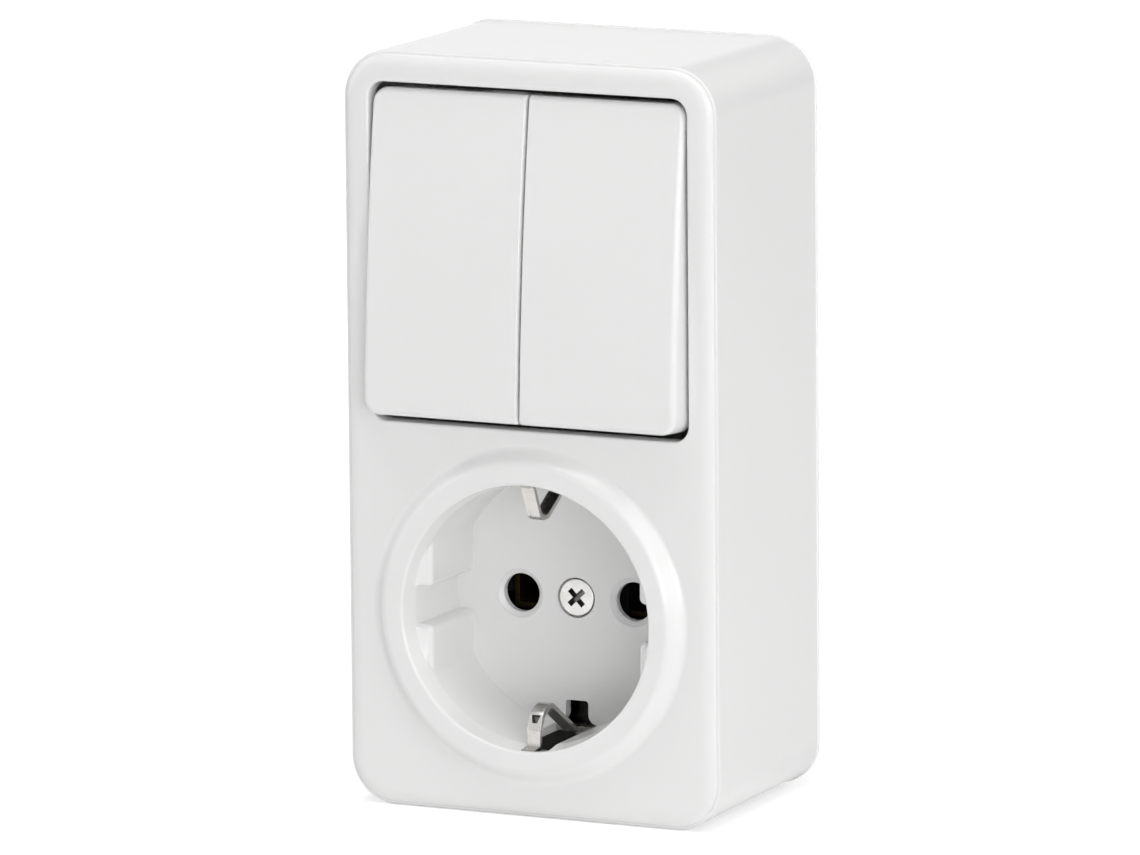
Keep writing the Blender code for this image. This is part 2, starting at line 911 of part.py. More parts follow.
def make_output_terminal(name, side):
    """A fixed contact's strip, which ends in a screw terminal at the top."""
    x = side * toggle_x
    near, far = terminal_z_range()
    back = tongue_front - strip_thickness
    body = block_mesh(
        name,
        centred(x, terminal_width),
        (back, back + terminal_depth),
        (switch_z + near, switch_z + far),
        terminal_edge,
        1,
    )
    terminal = add_part(name, body, brass_colour, 0.35, 1.0)
    tongue = block_mesh(
        "contact_tongue",
        centred(x, tongue_width),
        (back, tongue_front),
        (switch_z + contact_offset - tongue_end, switch_z + near + overlap),
    )
    join(terminal, add_tool(tongue))
    middle = switch_z + (near + far) / 2
    contact_z = switch_z + contact_offset
    rivet_hole = rod_mesh(
        "rivet_hole",
        shank_radius + clearance,
        (x, back - overshoot, contact_z),
        (x, tongue_front + overshoot, contact_z),
        12,
    )
    cut(terminal, add_tool(rivet_hole))
    cut_terminal_holes(terminal, x, middle, back, back + terminal_depth)
    make_terminal_screw(name + "_screw", x, middle, back + terminal_depth)


def cut_terminal_holes(terminal, x, z, back, face):
    """The threaded hole from the front, and the hole that takes the wire along Z."""
    bore = terminal_screw_radius + clearance
    floor = back + terminal_back_wall
    screw_hole = rod_mesh("screw_hole", bore, (x, floor, z), (x, face + overshoot, z), 16)
    cut(terminal, add_tool(screw_hole))
    wire = floor + wire_hole_radius
    span = terminal_height / 2 + overshoot
    wire_hole = rod_mesh("wire_hole", wire_hole_radius, (x, wire, z - span), (x, wire, z + span), 16)
    cut(terminal, add_tool(wire_hole))


def make_terminal_screw(name, x, z, face):
    seat = face + clearance
    top = seat + terminal_head_height
    profile = [
        (0, top),
        (terminal_head_radius - terminal_head_break, top),
        (terminal_head_radius, top - terminal_head_break),
        (terminal_head_radius, seat),
        (terminal_screw_radius, seat),
        (terminal_screw_radius, seat - terminal_screw_length),
        (0, seat - terminal_screw_length),
    ]
    screw = add_part(name, profile_mesh(name, profile), nickel, 0.3, 1.0)
    turn_about_axis(screw, x, z, 12)
    slot = block_mesh(
        "driver_slot",
        centred(x, 2 * terminal_head_radius + overshoot),
        (top - driver_slot_depth, top + overshoot),
        centred(z, driver_slot_width),
    )
    cut(screw, add_tool(slot))


def make_busbar():
    """The live strip: a knife edge for each blade, and one screw terminal below."""
    back = body_back + clearance
    strip_front = back + strip_thickness
    bar = block_mesh(
        "live_busbar",
        centred(0, 2 * (toggle_x + busbar_end)),
        (back, strip_front),
        centred(switch_z, busbar_width),
    )
    busbar = add_part("live_busbar", bar, brass_colour, 0.35, 1.0)
    for side in (-1, 1):
        join(busbar, add_tool(knife_post_mesh(side * toggle_x, strip_front)))
    near, far = terminal_z_range()
    arm = block_mesh(
        "busbar_arm", centred(0, busbar_width), (back, strip_front), (switch_z - near - overlap, switch_z)
    )
    join(busbar, add_tool(arm))
    clamp = block_mesh(
        "busbar_clamp",
        centred(0, terminal_width),
        (back, back + terminal_depth),
        (switch_z - far, switch_z - near),
        terminal_edge,
        1,
    )
    join(busbar, add_tool(clamp))
    middle = switch_z - (near + far) / 2
    cut_terminal_holes(busbar, 0, middle, back, back + terminal_depth)
    make_terminal_screw("live_busbar_screw", 0, middle, back + terminal_depth)


def knife_post_mesh(x, low):
    """A post that narrows to the edge on which a blade rocks."""
    edge = blade_pivot - blade_thickness / 2 - clearance
    mesh = block_mesh(
        "knife_post",
        centred(x, knife_post_width),
        (low - overlap, edge),
        centred(switch_z, knife_post_height),
    )
    for point in mesh.vertices:
        if point.co.y < -edge + sliver:
            point.co.z = switch_z + math.copysign(knife_edge / 2, point.co.z - switch_z)
    return mesh


def make_switch_body():
    outer = block_mesh(
        "switch_body",
        centred(0, body_width),
        (body_back, body_front),
        centred(switch_z, body_height),
        body_corner,
        3,
    )
    body = add_part("switch_body", outer, grey_plastic, 0.5)
    for side in (-1, 1):
        x = side * toggle_x
        add_bearing_ears(body, x)
        chamber = block_mesh(
            "chamber",
            centred(x, toggle_width + 2 * clearance),
            (chamber_floor, body_front + overshoot),
            centred(switch_z, chamber_height),
            chamber_corner,
            1,
        )
        cut(body, add_tool(chamber))
        cut_output_pocket(body, x)
        post_hole = block_mesh(
            "post_hole",
            wider(centred(x, knife_post_width)),
            (body_back + channel_depth - overlap, chamber_floor + overshoot),
            wider(centred(switch_z, knife_post_height)),
        )
        cut(body, add_tool(post_hole))
        join(body, add_tool(blade_stop_mesh(x)))
    cut_busbar_channel(body)
    for x, z in body_screw_places():
        cut_fixing_hole(body, x, z, body_back, body_front)
    return body


def blade_stop_mesh(x):
    """The block that the open blade's lower arm rests on."""
    tilt = math.radians(blade_tilt)
    far_edge = contact_offset + blade_stop_height / 2
    rest = blade_thickness / 2 / math.cos(tilt) + far_edge * math.tan(tilt)
    top = blade_pivot - rest - clearance
    return block_mesh(
        "blade_stop",
        centred(x, blade_width),
        (chamber_floor - overlap, top),
        centred(switch_z - contact_offset, blade_stop_height),
    )


def add_bearing_ears(body, x):
    """Two ears with snap-in bearings for a toggle's trunnions."""
    inside = toggle_width / 2 + ear_play
    for side in (-1, 1):
        limits = sorted((x + side * inside, x + side * (inside + ear_thickness)))
        ear = block_mesh(
            "bearing_ear", limits, (body_front - overlap, hinge + ear_lead), centred(switch_z, ear_height)
        )
        join(body, add_tool(ear))
        low, high = wider(limits)
        bearing = rod_mesh(
            "bearing", trunnion_radius + clearance, (low, hinge, switch_z), (high, hinge, switch_z), 16
        )
        cut(body, add_tool(bearing))
        entry = block_mesh(
            "bearing_entry",
            (low, high),
            (hinge, hinge + ear_lead + overshoot),
            centred(switch_z, 2 * trunnion_radius - snap_narrowing),
        )
        cut(body, add_tool(entry))


def cut_output_pocket(body, x):
    near, far = terminal_z_range()
    pocket = block_mesh(
        "terminal_pocket",
        wider(centred(x, terminal_width)),
        (chamber_floor, body_front + overshoot),
        (switch_z + near - clearance, switch_z + body_height / 2 + overshoot),
    )
    cut(body, add_tool(pocket))
    tongue_slot = block_mesh(
        "tongue_slot",
        wider(centred(x, tongue_width)),
        (chamber_floor + hair, tongue_front + clearance),
        (switch_z + chamber_height / 2 - overlap, switch_z + near + overlap),
    )
    cut(body, add_tool(tongue_slot))


def cut_busbar_channel(body):
    near, far = terminal_z_range()
    top = body_back + channel_depth
    across = block_mesh(
        "busbar_channel",
        wider(centred(0, 2 * (toggle_x + busbar_end))),
        (body_back - overshoot, top),
        wider(centred(switch_z, busbar_width)),
    )
    cut(body, add_tool(across))
    down = block_mesh(
        "busbar_arm_channel",
        wider(centred(0, busbar_width)),
        (body_back - 2 * overshoot, top - hair),
        (switch_z - near, switch_z),
    )
    cut(body, add_tool(down))
    pocket = block_mesh(
        "live_terminal_pocket",
        wider(centred(0, terminal_width)),
        (body_back - 3 * overshoot, body_front + overshoot),
        (switch_z - body_height / 2 - overshoot, switch_z - near + clearance),
    )
    cut(body, add_tool(pocket))


def body_screw_places():
    """Three fixings, clear of the terminals: one above, two below."""
    middle = sum(terminal_z_range()) / 2
    return [(0, switch_z + middle), (-toggle_x, switch_z - middle), (toggle_x, switch_z - middle)]


def insert_screw_places():
    return [(-insert_screw_x, socket_z + insert_screw_z), (insert_screw_x, socket_z - insert_screw_z)]


def cut_fixing_hole(part, x, z, back, face):
    """A clear hole for a fixing screw, with a counterbore down to its seat."""
    seat = back + fixing_grip
    start = (x, back - overshoot, z)
    hole = rod_mesh("fixing_hole", fixing_screw_radius + clearance, start, (x, seat + overshoot, z), 14)
    cut(part, add_tool(hole))
    end = (x, face + overshoot, z)
    bore = rod_mesh("fixing_bore", fixing_head_radius + clearance, (x, seat, z), end, 14)
    cut(part, add_tool(bore))


def make_fixing_screw(name, x, z, back):
    seat = back + fixing_grip + clearance
    top = seat + fixing_head_height
    end = back - fixing_bite
    profile = [
        (0, top),
        (fixing_head_radius - fixing_head_cone, top),
        (fixing_head_radius, top - fixing_head_cone),
        (fixing_head_radius, seat),
        (fixing_screw_radius, seat),
        (fixing_screw_radius, end + fixing_point),
        (fixing_tip_radius, end),
        (0, end),
    ]
    screw = add_part(name, profile_mesh(name, profile), nickel, 0.3, 1.0)
    turn_about_axis(screw, x, z, 12)


def make_base_plate():
    half_x = cover_width / 2 - cover_wall - clearance
    half_z = cover_height / 2 - cover_wall - clearance
    outer = block_mesh(
        "base_plate",
        (-half_x, half_x),
        (0, plate_thickness),
        (-half_z, half_z),
        plate_corner_radius,
        5,
    )
    plate = add_part("base_plate", outer, grey_plastic, 0.5)
    through = wider((0, plate_thickness), overshoot)
    for x, z, carried in [
        *[(x, z, body_back) for x, z in body_screw_places()],
        *[(x, z, insert_back) for x, z in insert_screw_places()],
    ]:
        foot = (x, plate_thickness - overlap, z)
        post = rod_mesh("post", post_radius, foot, (x, carried - clearance, z), 16)
        join(plate, add_tool(post))
        deep = (x, max(carried - fixing_bite - clearance, pilot_floor), z)
        pilot = rod_mesh("pilot", fixing_screw_radius + clearance, deep, (x, carried + overshoot, z), 14)
        cut(plate, add_tool(pilot))
    for side in (-1, 1):
        for end in (-1, 1):
            slot = block_mesh(
                "wall_screw_slot",
                centred(side * (half_x - wall_slot_side_inset), wall_slot_length),
                through,
                centred(end * (half_z - wall_slot_inset), wall_slot_width),
                wall_slot_width / 2 - sliver,
                5,
            )
            cut(plate, add_tool(slot))
    low = -half_z + cable_entry_inset
    entry = block_mesh(
        "cable_entry",
        centred(0, cable_entry_width),
        through,
        (low, low + cable_entry_height),
        cable_entry_corner,
        4,
    )
    cut(plate, add_tool(entry))
    return plate


def strap_path(side):
    """One end of the earth strap: behind the bowl, up outside its wall and back in as a sprung nose."""
    flat = strap_front - strap_thickness / 2
    leg = strap_leg_radius
    bend = strap_bend_radius
    round_top = clip_crest_radius
    crest = front + earth_slot_front - 2 * clearance - strap_thickness / 2
    nose = (front - clip_nose_setback, bowl_radius - clip_reach + clip_nose_radius)
    path = [
        (flat, strap_plate_reach - 2 * overlap),
        *arc((flat + bend, leg - bend), bend, 180, 90, 4),
        *arc((crest - round_top, leg - round_top), round_top, 90, -25, 6),
        (front - clip_front_run[0], bowl_radius - clip_front_run[1]),
        *arc(nose, clip_nose_radius, -30, -122, 5),
        *[(front - setback, bowl_radius - reach) for setback, reach in clip_tail],
    ]
    return [(forward, socket_z + side * radius) for forward, radius in path]


def make_earth_strap():
    """One stamped strap: a plate under the bowl, two sprung clips and an arm to the earth terminal."""
    limits = (strap_front - strap_thickness, strap_front)
    plate = block_mesh(
        "earth_strap",
        centred(0, strap_plate_width),
        limits,
        centred(socket_z, 2 * strap_plate_reach),
        strap_plate_corner,
        2,
    )
    strap = add_part("earth_strap", plate, nickel, 0.3, 1.0)
    for side in (-1, 1):
        clip = add_tool(strip_mesh("earth_clip", strap_path(side), clip_width))
        thick = clip.modifiers.new("sheet", "SOLIDIFY")
        thick.thickness = strap_thickness - hair
        thick.offset = 0
        thick.use_even_offset = True
        join(strap, clip)
    arm = block_mesh(
        "earth_arm",
        (0, terminal_x + terminal_height / 2),
        wider(limits, -hair),
        centred(socket_z + terminal_z, earth_arm_height),
    )
    join(strap, add_tool(arm))
    for x, z in ((0, 0), (terminal_x, terminal_z)):
        hole = rod_mesh(
            "strap_hole",
            terminal_screw_radius + clearance,
            (x, limits[0] - overshoot, socket_z + z),
            (x, limits[1] + overshoot, socket_z + z),
            16,
        )
        cut(strap, add_tool(hole))


def pin_contact_outline(side):
    """A channel that grips a pin between two leaves, open towards the middle of the socket."""
    x = side * pin_spacing / 2
    gap = leaf_gap / 2
    outer = gap + leaf_thickness
    mouth = x - side * (leaf_width / 2)
    web = x + side * gap
    back = x + side * outer
    return [
        (mouth, socket_z - outer),
        (back, socket_z - outer),
        (back, socket_z + outer),
        (mouth, socket_z + outer),
        (mouth, socket_z + gap),
        (web, socket_z + gap),
        (web, socket_z - gap),
        (mouth, socket_z - gap),
    ]


def arm_reach():
    """How far out a pin contact's arm reaches, just into its terminal."""
    return terminal_x - terminal_height / 2 + overlap


def make_pin_contact(name, side):
    face = insert_front - clearance
    channel = outline_mesh(name, pin_contact_outline(side), (face - contact_depth, face))
    contact = add_part(name, channel, brass_colour, 0.35, 1.0)
    x = side * terminal_x
    z = socket_z - terminal_z
    clamp = block_mesh(
        "pin_clamp",
        centred(x, terminal_height),
        (clamp_back, clamp_back + terminal_depth),
        centred(z, terminal_height),
        terminal_edge,
        1,
    )
    join(contact, add_tool(clamp))
    web = pin_spacing / 2 + leaf_gap / 2 + leaf_thickness / 2
    arm = block_mesh(
        "pin_contact_arm",
        sorted((side * web, side * arm_reach())),
        (clamp_back + pin_arm_lift, clamp_back + pin_arm_lift + strip_thickness),
        (z, socket_z - pin_arm_end),
    )
    join(contact, add_tool(arm))
    cut_terminal_holes(contact, x, z, clamp_back, clamp_back + terminal_depth)
    make_terminal_screw(name + "_screw", x, z, clamp_back + terminal_depth)


def make_earth_nut():
    x = terminal_x
    z = socket_z + terminal_z
    nut = block_mesh(
        "earth_nut",
        centred(x, terminal_height),
        (insert_front - nut_thickness, insert_front),
        centred(z, terminal_height),
        terminal_edge,
        1,
    )
    part = add_part("earth_nut", nut, brass_colour, 0.35, 1.0)
    hole = rod_mesh(
        "nut_hole",
        terminal_screw_radius + clearance,
        (x, insert_front - nut_thickness - overshoot, z),
        (x, insert_front + overshoot, z),
        16,
    )
    cut(part, add_tool(hole))
    make_terminal_screw("earth_screw", x, z, strap_front)


def make_socket_insert():
    outer = block_mesh(
        "socket_insert",
        centred(0, insert_width),
        (insert_back, insert_front),
        centred(socket_z, insert_height),
        insert_radius,
        4,
    )
    insert = add_part("socket_insert", outer, black_plastic, 0.5)
    open_front = insert_front + overshoot
    lowest = socket_z - insert_height / 2
    half = leaf_gap / 2 + leaf_thickness + clearance
    for side in (-1, 1):
        x = side * pin_spacing / 2
        mouth = x - side * (leaf_width / 2 + clearance)
        pin_pocket = block_mesh(
            "pin_pocket",
            sorted((mouth, x + side * half)),
            (insert_back - overshoot, open_front),
            centred(socket_z, 2 * half),
        )
        cut(insert, add_tool(pin_pocket))
        clamp_pocket = block_mesh(
            "clamp_pocket",
            wider(centred(side * terminal_x, terminal_height)),
            (clamp_back - clearance, open_front),
            (lowest - overshoot, socket_z - terminal_z + terminal_height / 2 + clearance),
        )
        cut(insert, add_tool(clamp_pocket))
        arm_pocket = block_mesh(
            "arm_pocket",
            sorted((side * (pin_spacing / 2 + leaf_gap / 2), side * (arm_reach() + clearance))),
            (clamp_back - clearance + hair, open_front + sliver),
            (socket_z - terminal_z - clearance, socket_z - pin_arm_end + clearance),
        )
        cut(insert, add_tool(arm_pocket))
    nut_pocket = block_mesh(
        "nut_pocket",
        wider(centred(terminal_x, terminal_height)),
        (insert_front - nut_thickness - clearance, open_front),
        wider(centred(socket_z + terminal_z, terminal_height)),
    )
    cut(insert, add_tool(nut_pocket))
    earth_tail = rod_mesh(
        "earth_screw_tail",
        terminal_screw_radius + clearance,
        (terminal_x, strap_front - terminal_screw_length - overshoot, socket_z + terminal_z),
        (terminal_x, insert_front - nut_thickness + overlap, socket_z + terminal_z),
        16,
    )
    cut(insert, add_tool(earth_tail))
    tail = bowl_floor - cover_screw_length - overshoot
    centre_hole = rod_mesh(
        "centre_hole", cover_screw_radius + clearance, (0, tail, socket_z), (0, open_front, socket_z), 16
    )
    cut(insert, add_tool(centre_hole))
    for x, z in insert_screw_places():
        cut_fixing_hole(insert, x, z, insert_back, insert_front)


def make_switch():
    make_switch_body()
    make_busbar()
    for name, side in (("left", -1), ("right", 1)):
        x = side * toggle_x
        rocker_pivot = make_pivot(name + "_rocker_pivot", x, hinge, -rocker_tilt)
        make_rocker(name + "_rocker", side, rocker_pivot)
        make_toggle(name + "_toggle", rocker_pivot)
        make_spring(name + "_spring", rocker_pivot)
        make_plunger(name + "_plunger", rocker_pivot)
        contact_pivot = make_pivot(name + "_blade_pivot", x, blade_pivot, blade_tilt)
        make_blade(name + "_contact_blade", contact_pivot)
        make_moving_contact(name + "_moving_contact", contact_pivot)
        make_fixed_contact(name + "_fixed_contact", side)
        make_output_terminal(name + "_output_terminal", side)
    for number, (x, z) in enumerate(body_screw_places(), 1):
        make_fixing_screw(f"switch_body_screw_{number}", x, z, body_back)


def make_socket():
    make_socket_insert()
    make_earth_strap()
    make_earth_nut()
    make_pin_contact("left_pin_contact", -1)
    make_pin_contact("right_pin_contact", 1)
    for number, (x, z) in enumerate(insert_screw_places(), 1):
        make_fixing_screw(f"insert_screw_{number}", x, z, insert_back)


make_cover()
make_cover_screw()
make_base_plate()
make_switch()
make_socket()
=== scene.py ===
import json
import math
from functools import partial

import bmesh
import bpy
from mathutils import Matrix, Vector

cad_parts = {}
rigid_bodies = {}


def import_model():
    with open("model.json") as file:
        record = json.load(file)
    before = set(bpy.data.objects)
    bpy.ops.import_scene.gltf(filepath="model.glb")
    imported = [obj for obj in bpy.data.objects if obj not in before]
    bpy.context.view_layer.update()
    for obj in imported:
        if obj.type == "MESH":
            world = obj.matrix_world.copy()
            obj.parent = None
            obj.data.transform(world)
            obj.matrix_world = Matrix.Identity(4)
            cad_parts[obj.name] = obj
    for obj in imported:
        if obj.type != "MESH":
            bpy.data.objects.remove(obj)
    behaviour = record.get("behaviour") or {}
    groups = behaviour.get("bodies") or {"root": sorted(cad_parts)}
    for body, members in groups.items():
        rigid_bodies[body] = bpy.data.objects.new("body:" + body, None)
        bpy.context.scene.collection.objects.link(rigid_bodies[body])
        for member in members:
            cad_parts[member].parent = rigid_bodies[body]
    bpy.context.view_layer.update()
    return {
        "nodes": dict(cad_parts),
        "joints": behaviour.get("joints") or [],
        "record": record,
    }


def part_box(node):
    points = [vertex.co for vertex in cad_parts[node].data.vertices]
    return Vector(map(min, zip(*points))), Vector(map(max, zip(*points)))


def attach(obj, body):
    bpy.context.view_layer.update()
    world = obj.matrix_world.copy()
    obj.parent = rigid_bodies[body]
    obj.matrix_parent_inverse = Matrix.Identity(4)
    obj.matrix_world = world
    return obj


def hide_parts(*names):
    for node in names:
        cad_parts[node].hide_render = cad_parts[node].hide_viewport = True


# Looks for the wall unit with a twin rocker switch above an earthed socket.
# Metres, X to the right, Z up, the front faces -Y and the wall side lies at Y = 0.
# "Forward" below is the distance from the wall.
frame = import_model()
nodes = frame["nodes"]
record = frame["record"]
slotOf = {part["node"]: part["material_slot"] for part in record["subparts"]}
bodyOf = {node: body for body, members in record["behaviour"]["bodies"].items() for node in members}
joints = {joint["name"]: joint for joint in frame["joints"]}
print("frame loaded:", len(nodes), "nodes")


# Shared mesh helpers

def camelCase(nodeName):
    first, *others = nodeName.split("_")
    return first + "".join(word.capitalize() for word in others)


def place(x, forward, z):
    return Vector((x, -forward, z))


def arcPoints(centre, radius, start, end, steps):
    turns = [math.radians(start + (end - start) * i / steps) for i in range(steps + 1)]
    return [(centre[0] + radius * math.cos(a), centre[1] + radius * math.sin(a)) for a in turns]


def quarterRound(radius, steps):
    # (inward, forward)
    return arcPoints((radius, 0), radius, 180, 90, steps)


def roundedRect(width, height, radius, middleZ=0.0, middleX=0.0, steps=12):
    halfX, halfZ = width / 2 - radius, height / 2 - radius
    corners = [(halfX, halfZ, 0), (-halfX, halfZ, 90), (-halfX, -halfZ, 180), (halfX, -halfZ, 270)]
    points = []
    for x, z, start in corners:
        points += arcPoints((x + middleX, z + middleZ), radius, start, start + 90, steps)
    return points


def addRow(shape, points, forward):
    return [shape.verts.new(place(x, forward, z)) for x, z in points]


def bridgeRows(shape, rows):
    for lower, upper in zip(rows, rows[1:]):
        for i in range(len(lower)):
            j = (i + 1) % len(lower)
            shape.faces.new((lower[i], lower[j], upper[j], upper[i]))


def fillBetween(shape, loops):
    edges = []
    for loop in loops:
        for i in range(len(loop)):
            pair = (loop[i - 1], loop[i])
            edges.append(shape.edges.get(pair) or shape.edges.new(pair))
    bmesh.ops.triangle_fill(shape, edges=edges, use_beauty=True)


def meshFrom(shape, name, mergeDistance=0.0000005):
    bmesh.ops.remove_doubles(shape, verts=shape.verts, dist=mergeDistance)
    bmesh.ops.recalc_face_normals(shape, faces=shape.faces)
    mesh = bpy.data.meshes.new(name)
    shape.to_mesh(mesh)
    shape.free()
    return mesh


def newObject(name, mesh):
    made = bpy.data.objects.new(name, mesh)
    bpy.context.scene.collection.objects.link(made)
    return made


def closeRows(name, shape, rows):
    bridgeRows(shape, rows)
    shape.faces.new(rows[0])
    shape.faces.new(rows[-1])
    return newObject(name, meshFrom(shape, name))


def loft(name, sections):
    # a closed solid through outlines, each a pair of points and forward
    shape = bmesh.new()
    return closeRows(name, shape, [addRow(shape, points, forward) for points, forward in sections])


def boxBetween(name, x, forward, z):
    corners = [(x[0], z[0]), (x[1], z[0]), (x[1], z[1]), (x[0], z[1])]
    return loft(name, [(corners, forward[0]), (corners, forward[1])])


def turned(name, profile, x, z, steps=64):
    # a closed solid from (radius, forward) points, turned about the line along Y
    shape = bmesh.new()
    rows = []
    for radius, forward in profile:
        if radius < 0.000001:
            rows.append([shape.verts.new(place(x, forward, z))])
            continue
        rows.append(addRow(shape, arcPoints((x, z), radius, 0, 360, steps)[:-1], forward))
    for lower, upper in zip(rows, rows[1:]):
        for i in range(steps):
            j = (i + 1) % steps
            corners = [lower[i % len(lower)], lower[j % len(lower)],
                       upper[j % len(upper)], upper[i % len(upper)]]
            shape.faces.new(list(dict.fromkeys(corners)))
    return newObject(name, meshFrom(shape, name))


def applyModifiers(obj):
    bpy.context.view_layer.update()
    solved = bpy.data.meshes.new_from_object(obj.evaluated_get(bpy.context.evaluated_depsgraph_get()))
    obj.modifiers.clear()
    solved.name = obj.name
    obj.data = solved
    return obj


def carve(obj, tools, operation="DIFFERENCE"):
    for tool in tools:
        step = obj.modifiers.new("carve", "BOOLEAN")
        step.operation = operation
        step.solver = "EXACT"
        step.material_mode = "TRANSFER"
        step.object = tool
    applyModifiers(obj)
    for tool in tools:
        bpy.data.objects.remove(tool)
    return obj


def softShade(obj, angle=32):
    obj.data.shade_smooth()
    obj.data.set_sharp_from_angle(angle=math.radians(angle))
    weighted = obj.modifiers.new("weighted", "WEIGHTED_NORMAL")
    weighted.keep_sharp = True
    weighted.weight = 60
    return applyModifiers(obj)


# Node helpers for the materials and for Geometry Nodes

def feed(tree, node, inputs):
    # each input is a plain value or a socket
    for label, value in inputs.items():
        if isinstance(value, bpy.types.NodeSocket):
            tree.links.new(value, node.inputs[label])
        else:
            node.inputs[label].default_value = value


def addNode(tree, kind, inputs=None, **settings):
    node = tree.nodes.new(kind if kind.startswith("Shader") else "GeometryNode" + kind)
    for label, value in settings.items():
        setattr(node, label, value)
    feed(tree, node, inputs or {})
    return node


def mathNode(tree, operation, *values):
    return addNode(tree, "ShaderNodeMath", dict(enumerate(values)), operation=operation).outputs[0]


def combine(tree, *values):
    return addNode(tree, "ShaderNodeCombineXYZ", dict(enumerate(values))).outputs[0]


def rampNode(tree, value, limits, interpolation="LINEAR"):
    # limits: from low, from high, to low, to high
    labels = ("From Min", "From Max", "To Min", "To Max")
    inputs = {"Value": value, **dict(zip(labels, limits))}
    return addNode(tree, "ShaderNodeMapRange", inputs, interpolation_type=interpolation).outputs["Result"]


socketKinds = {bool: "Bool", int: "Int", float: "Float", type(None): "Material"}


def addInputs(tree, inputs):
    # the kind of a socket follows from its first value
    for label, value in inputs.items():
        kind = socketKinds.get(type(value)) or ("Vector" if len(value) == 3 else "Color")
        made = tree.interface.new_socket(label, in_out="INPUT", socket_type="NodeSocket" + kind)
        if value is not None:
            made.default_value = value
    tree.nodes.new("NodeGroupInput").name = "given"
    tree.nodes.new("NodeGroupOutput").name = "result"


# Shader groups, shared by all the materials

grain = {
    "flowScale": 40, "flowDetail": 3, "skinDetail": 2, "skinHeight": 0.00005,
    "patchScale": 350, "patchDetail": 4, "patches": (0.35, 0.75, 0.0, 1.0),
    "paintedShadeRamp": (0.0, 0.001, 1.0, 0.04), "lineDetail": 2, "lineHeight": 0.00002,
}


def newGroup(name, inputs):
    group = bpy.data.node_groups.new(name, "ShaderNodeTree")
    addInputs(group, inputs)
    for label, kind in (("Color", "Color"), ("Roughness", "Float"), ("Normal", "Vector")):
        group.interface.new_socket(label, in_out="OUTPUT", socket_type="NodeSocket" + kind)
    return group


def noiseNode(tree, coords, scale, detail):
    inputs = {"Vector": coords, "Scale": scale, "Detail": detail}
    return addNode(tree, "ShaderNodeTexNoise", inputs).outputs["Fac"]


def endGroup(group, factor, roughness, height, strength, distance):
    # the tone times a factor, the roughness and the bumped normal go to the group's outputs
    tone = addNode(group, "ShaderNodeVectorMath", {
        0: group.nodes["given"].outputs["Tone"], "Scale": factor}, operation="SCALE").outputs[0]
    bump = addNode(group, "ShaderNodeBump", {
        "Height": height, "Strength": strength, "Distance": distance}).outputs["Normal"]
    feed(group, group.nodes["result"], {"Color": tone, "Roughness": roughness, "Normal": bump})
    return group


def mouldSurfaceGroup():
    # moulded plastic: a faint flow of tone, uneven gloss and a very fine skin
    group = newGroup("mouldSurface", {
        "Tone": (0.88, 0.88, 0.877, 1), "Variation": 0.015, "Skin Scale": 3500.0, "Skin Depth": 0.05,
        "Roughness": 0.2, "Gloss Variation": 0.06})
    given, calc = group.nodes["given"].outputs, partial(mathNode, group)
    coords = addNode(group, "ShaderNodeTexCoord").outputs["Object"]
    centre = calc("SUBTRACT", noiseNode(group, coords, grain["flowScale"], grain["flowDetail"]), 0.5)
    spread = calc("MULTIPLY_ADD", centre, given["Variation"], 1.0)
    gloss = calc("MULTIPLY_ADD", centre, given["Gloss Variation"], given["Roughness"])
    skin = noiseNode(group, coords, given["Skin Scale"], grain["skinDetail"])
    return endGroup(group, spread, gloss, skin, given["Skin Depth"], grain["skinHeight"])


def metalSurfaceGroup():
    # rolled or plated metal: fine drawn lines along one axis, slight tarnish in patches, and painted shade
    # nearer the wall than a given distance
    group = newGroup("metalSurface", {
        "Tone": (0.7, 0.7, 0.7, 1), "Tarnish": 0.1, "Line Scale": (1500, 1500, 1500), "Line Depth": 0.2,
        "Roughness": 0.25, "Painted Shade Behind": 0.0})
    given, calc = group.nodes["given"].outputs, partial(mathNode, group)
    coords = addNode(group, "ShaderNodeTexCoord").outputs["Object"]
    patches = noiseNode(group, coords, grain["patchScale"], grain["patchDetail"])
    amount = calc("MULTIPLY", rampNode(group, patches, grain["patches"], "SMOOTHSTEP"), given["Tarnish"])
    # painted shade: the metal is painted dark where it lies nearer to the wall than the given distance
    depth = addNode(group, "ShaderNodeSeparateXYZ", {0: coords}).outputs["Y"]
    paintedShade = rampNode(group, calc("ADD", depth, given["Painted Shade Behind"]), grain["paintedShadeRamp"])
    kept = calc("MULTIPLY", calc("SUBTRACT", 1.0, amount), paintedShade)
    scales = {0: coords, 1: given["Line Scale"]}
    stretched = addNode(group, "ShaderNodeVectorMath", scales, operation="MULTIPLY").outputs[0]
    lines = noiseNode(group, stretched, 1.0, grain["lineDetail"])
    roughness = calc("ADD", given["Roughness"], amount)
    return endGroup(group, kept, roughness, lines, given["Line Depth"], grain["lineHeight"])


mouldSurface = mouldSurfaceGroup()
metalSurface = metalSurfaceGroup()


def newMaterial(name, group, values, metallic=0.0):
    material = bpy.data.materials.new(name)
    material.use_nodes = True
    tree = material.node_tree
    surface = addNode(tree, "ShaderNodeGroup", values, node_tree=group).outputs
    feed(tree, tree.nodes["Principled BSDF"], {
        "Metallic": metallic, "IOR": 1.5, "Base Color": surface["Color"],
        "Roughness": surface["Roughness"], "Normal": surface["Normal"]})
    return material


def newMetal(name, values):
    return newMaterial(name, metalSurface, values, metallic=1.0)


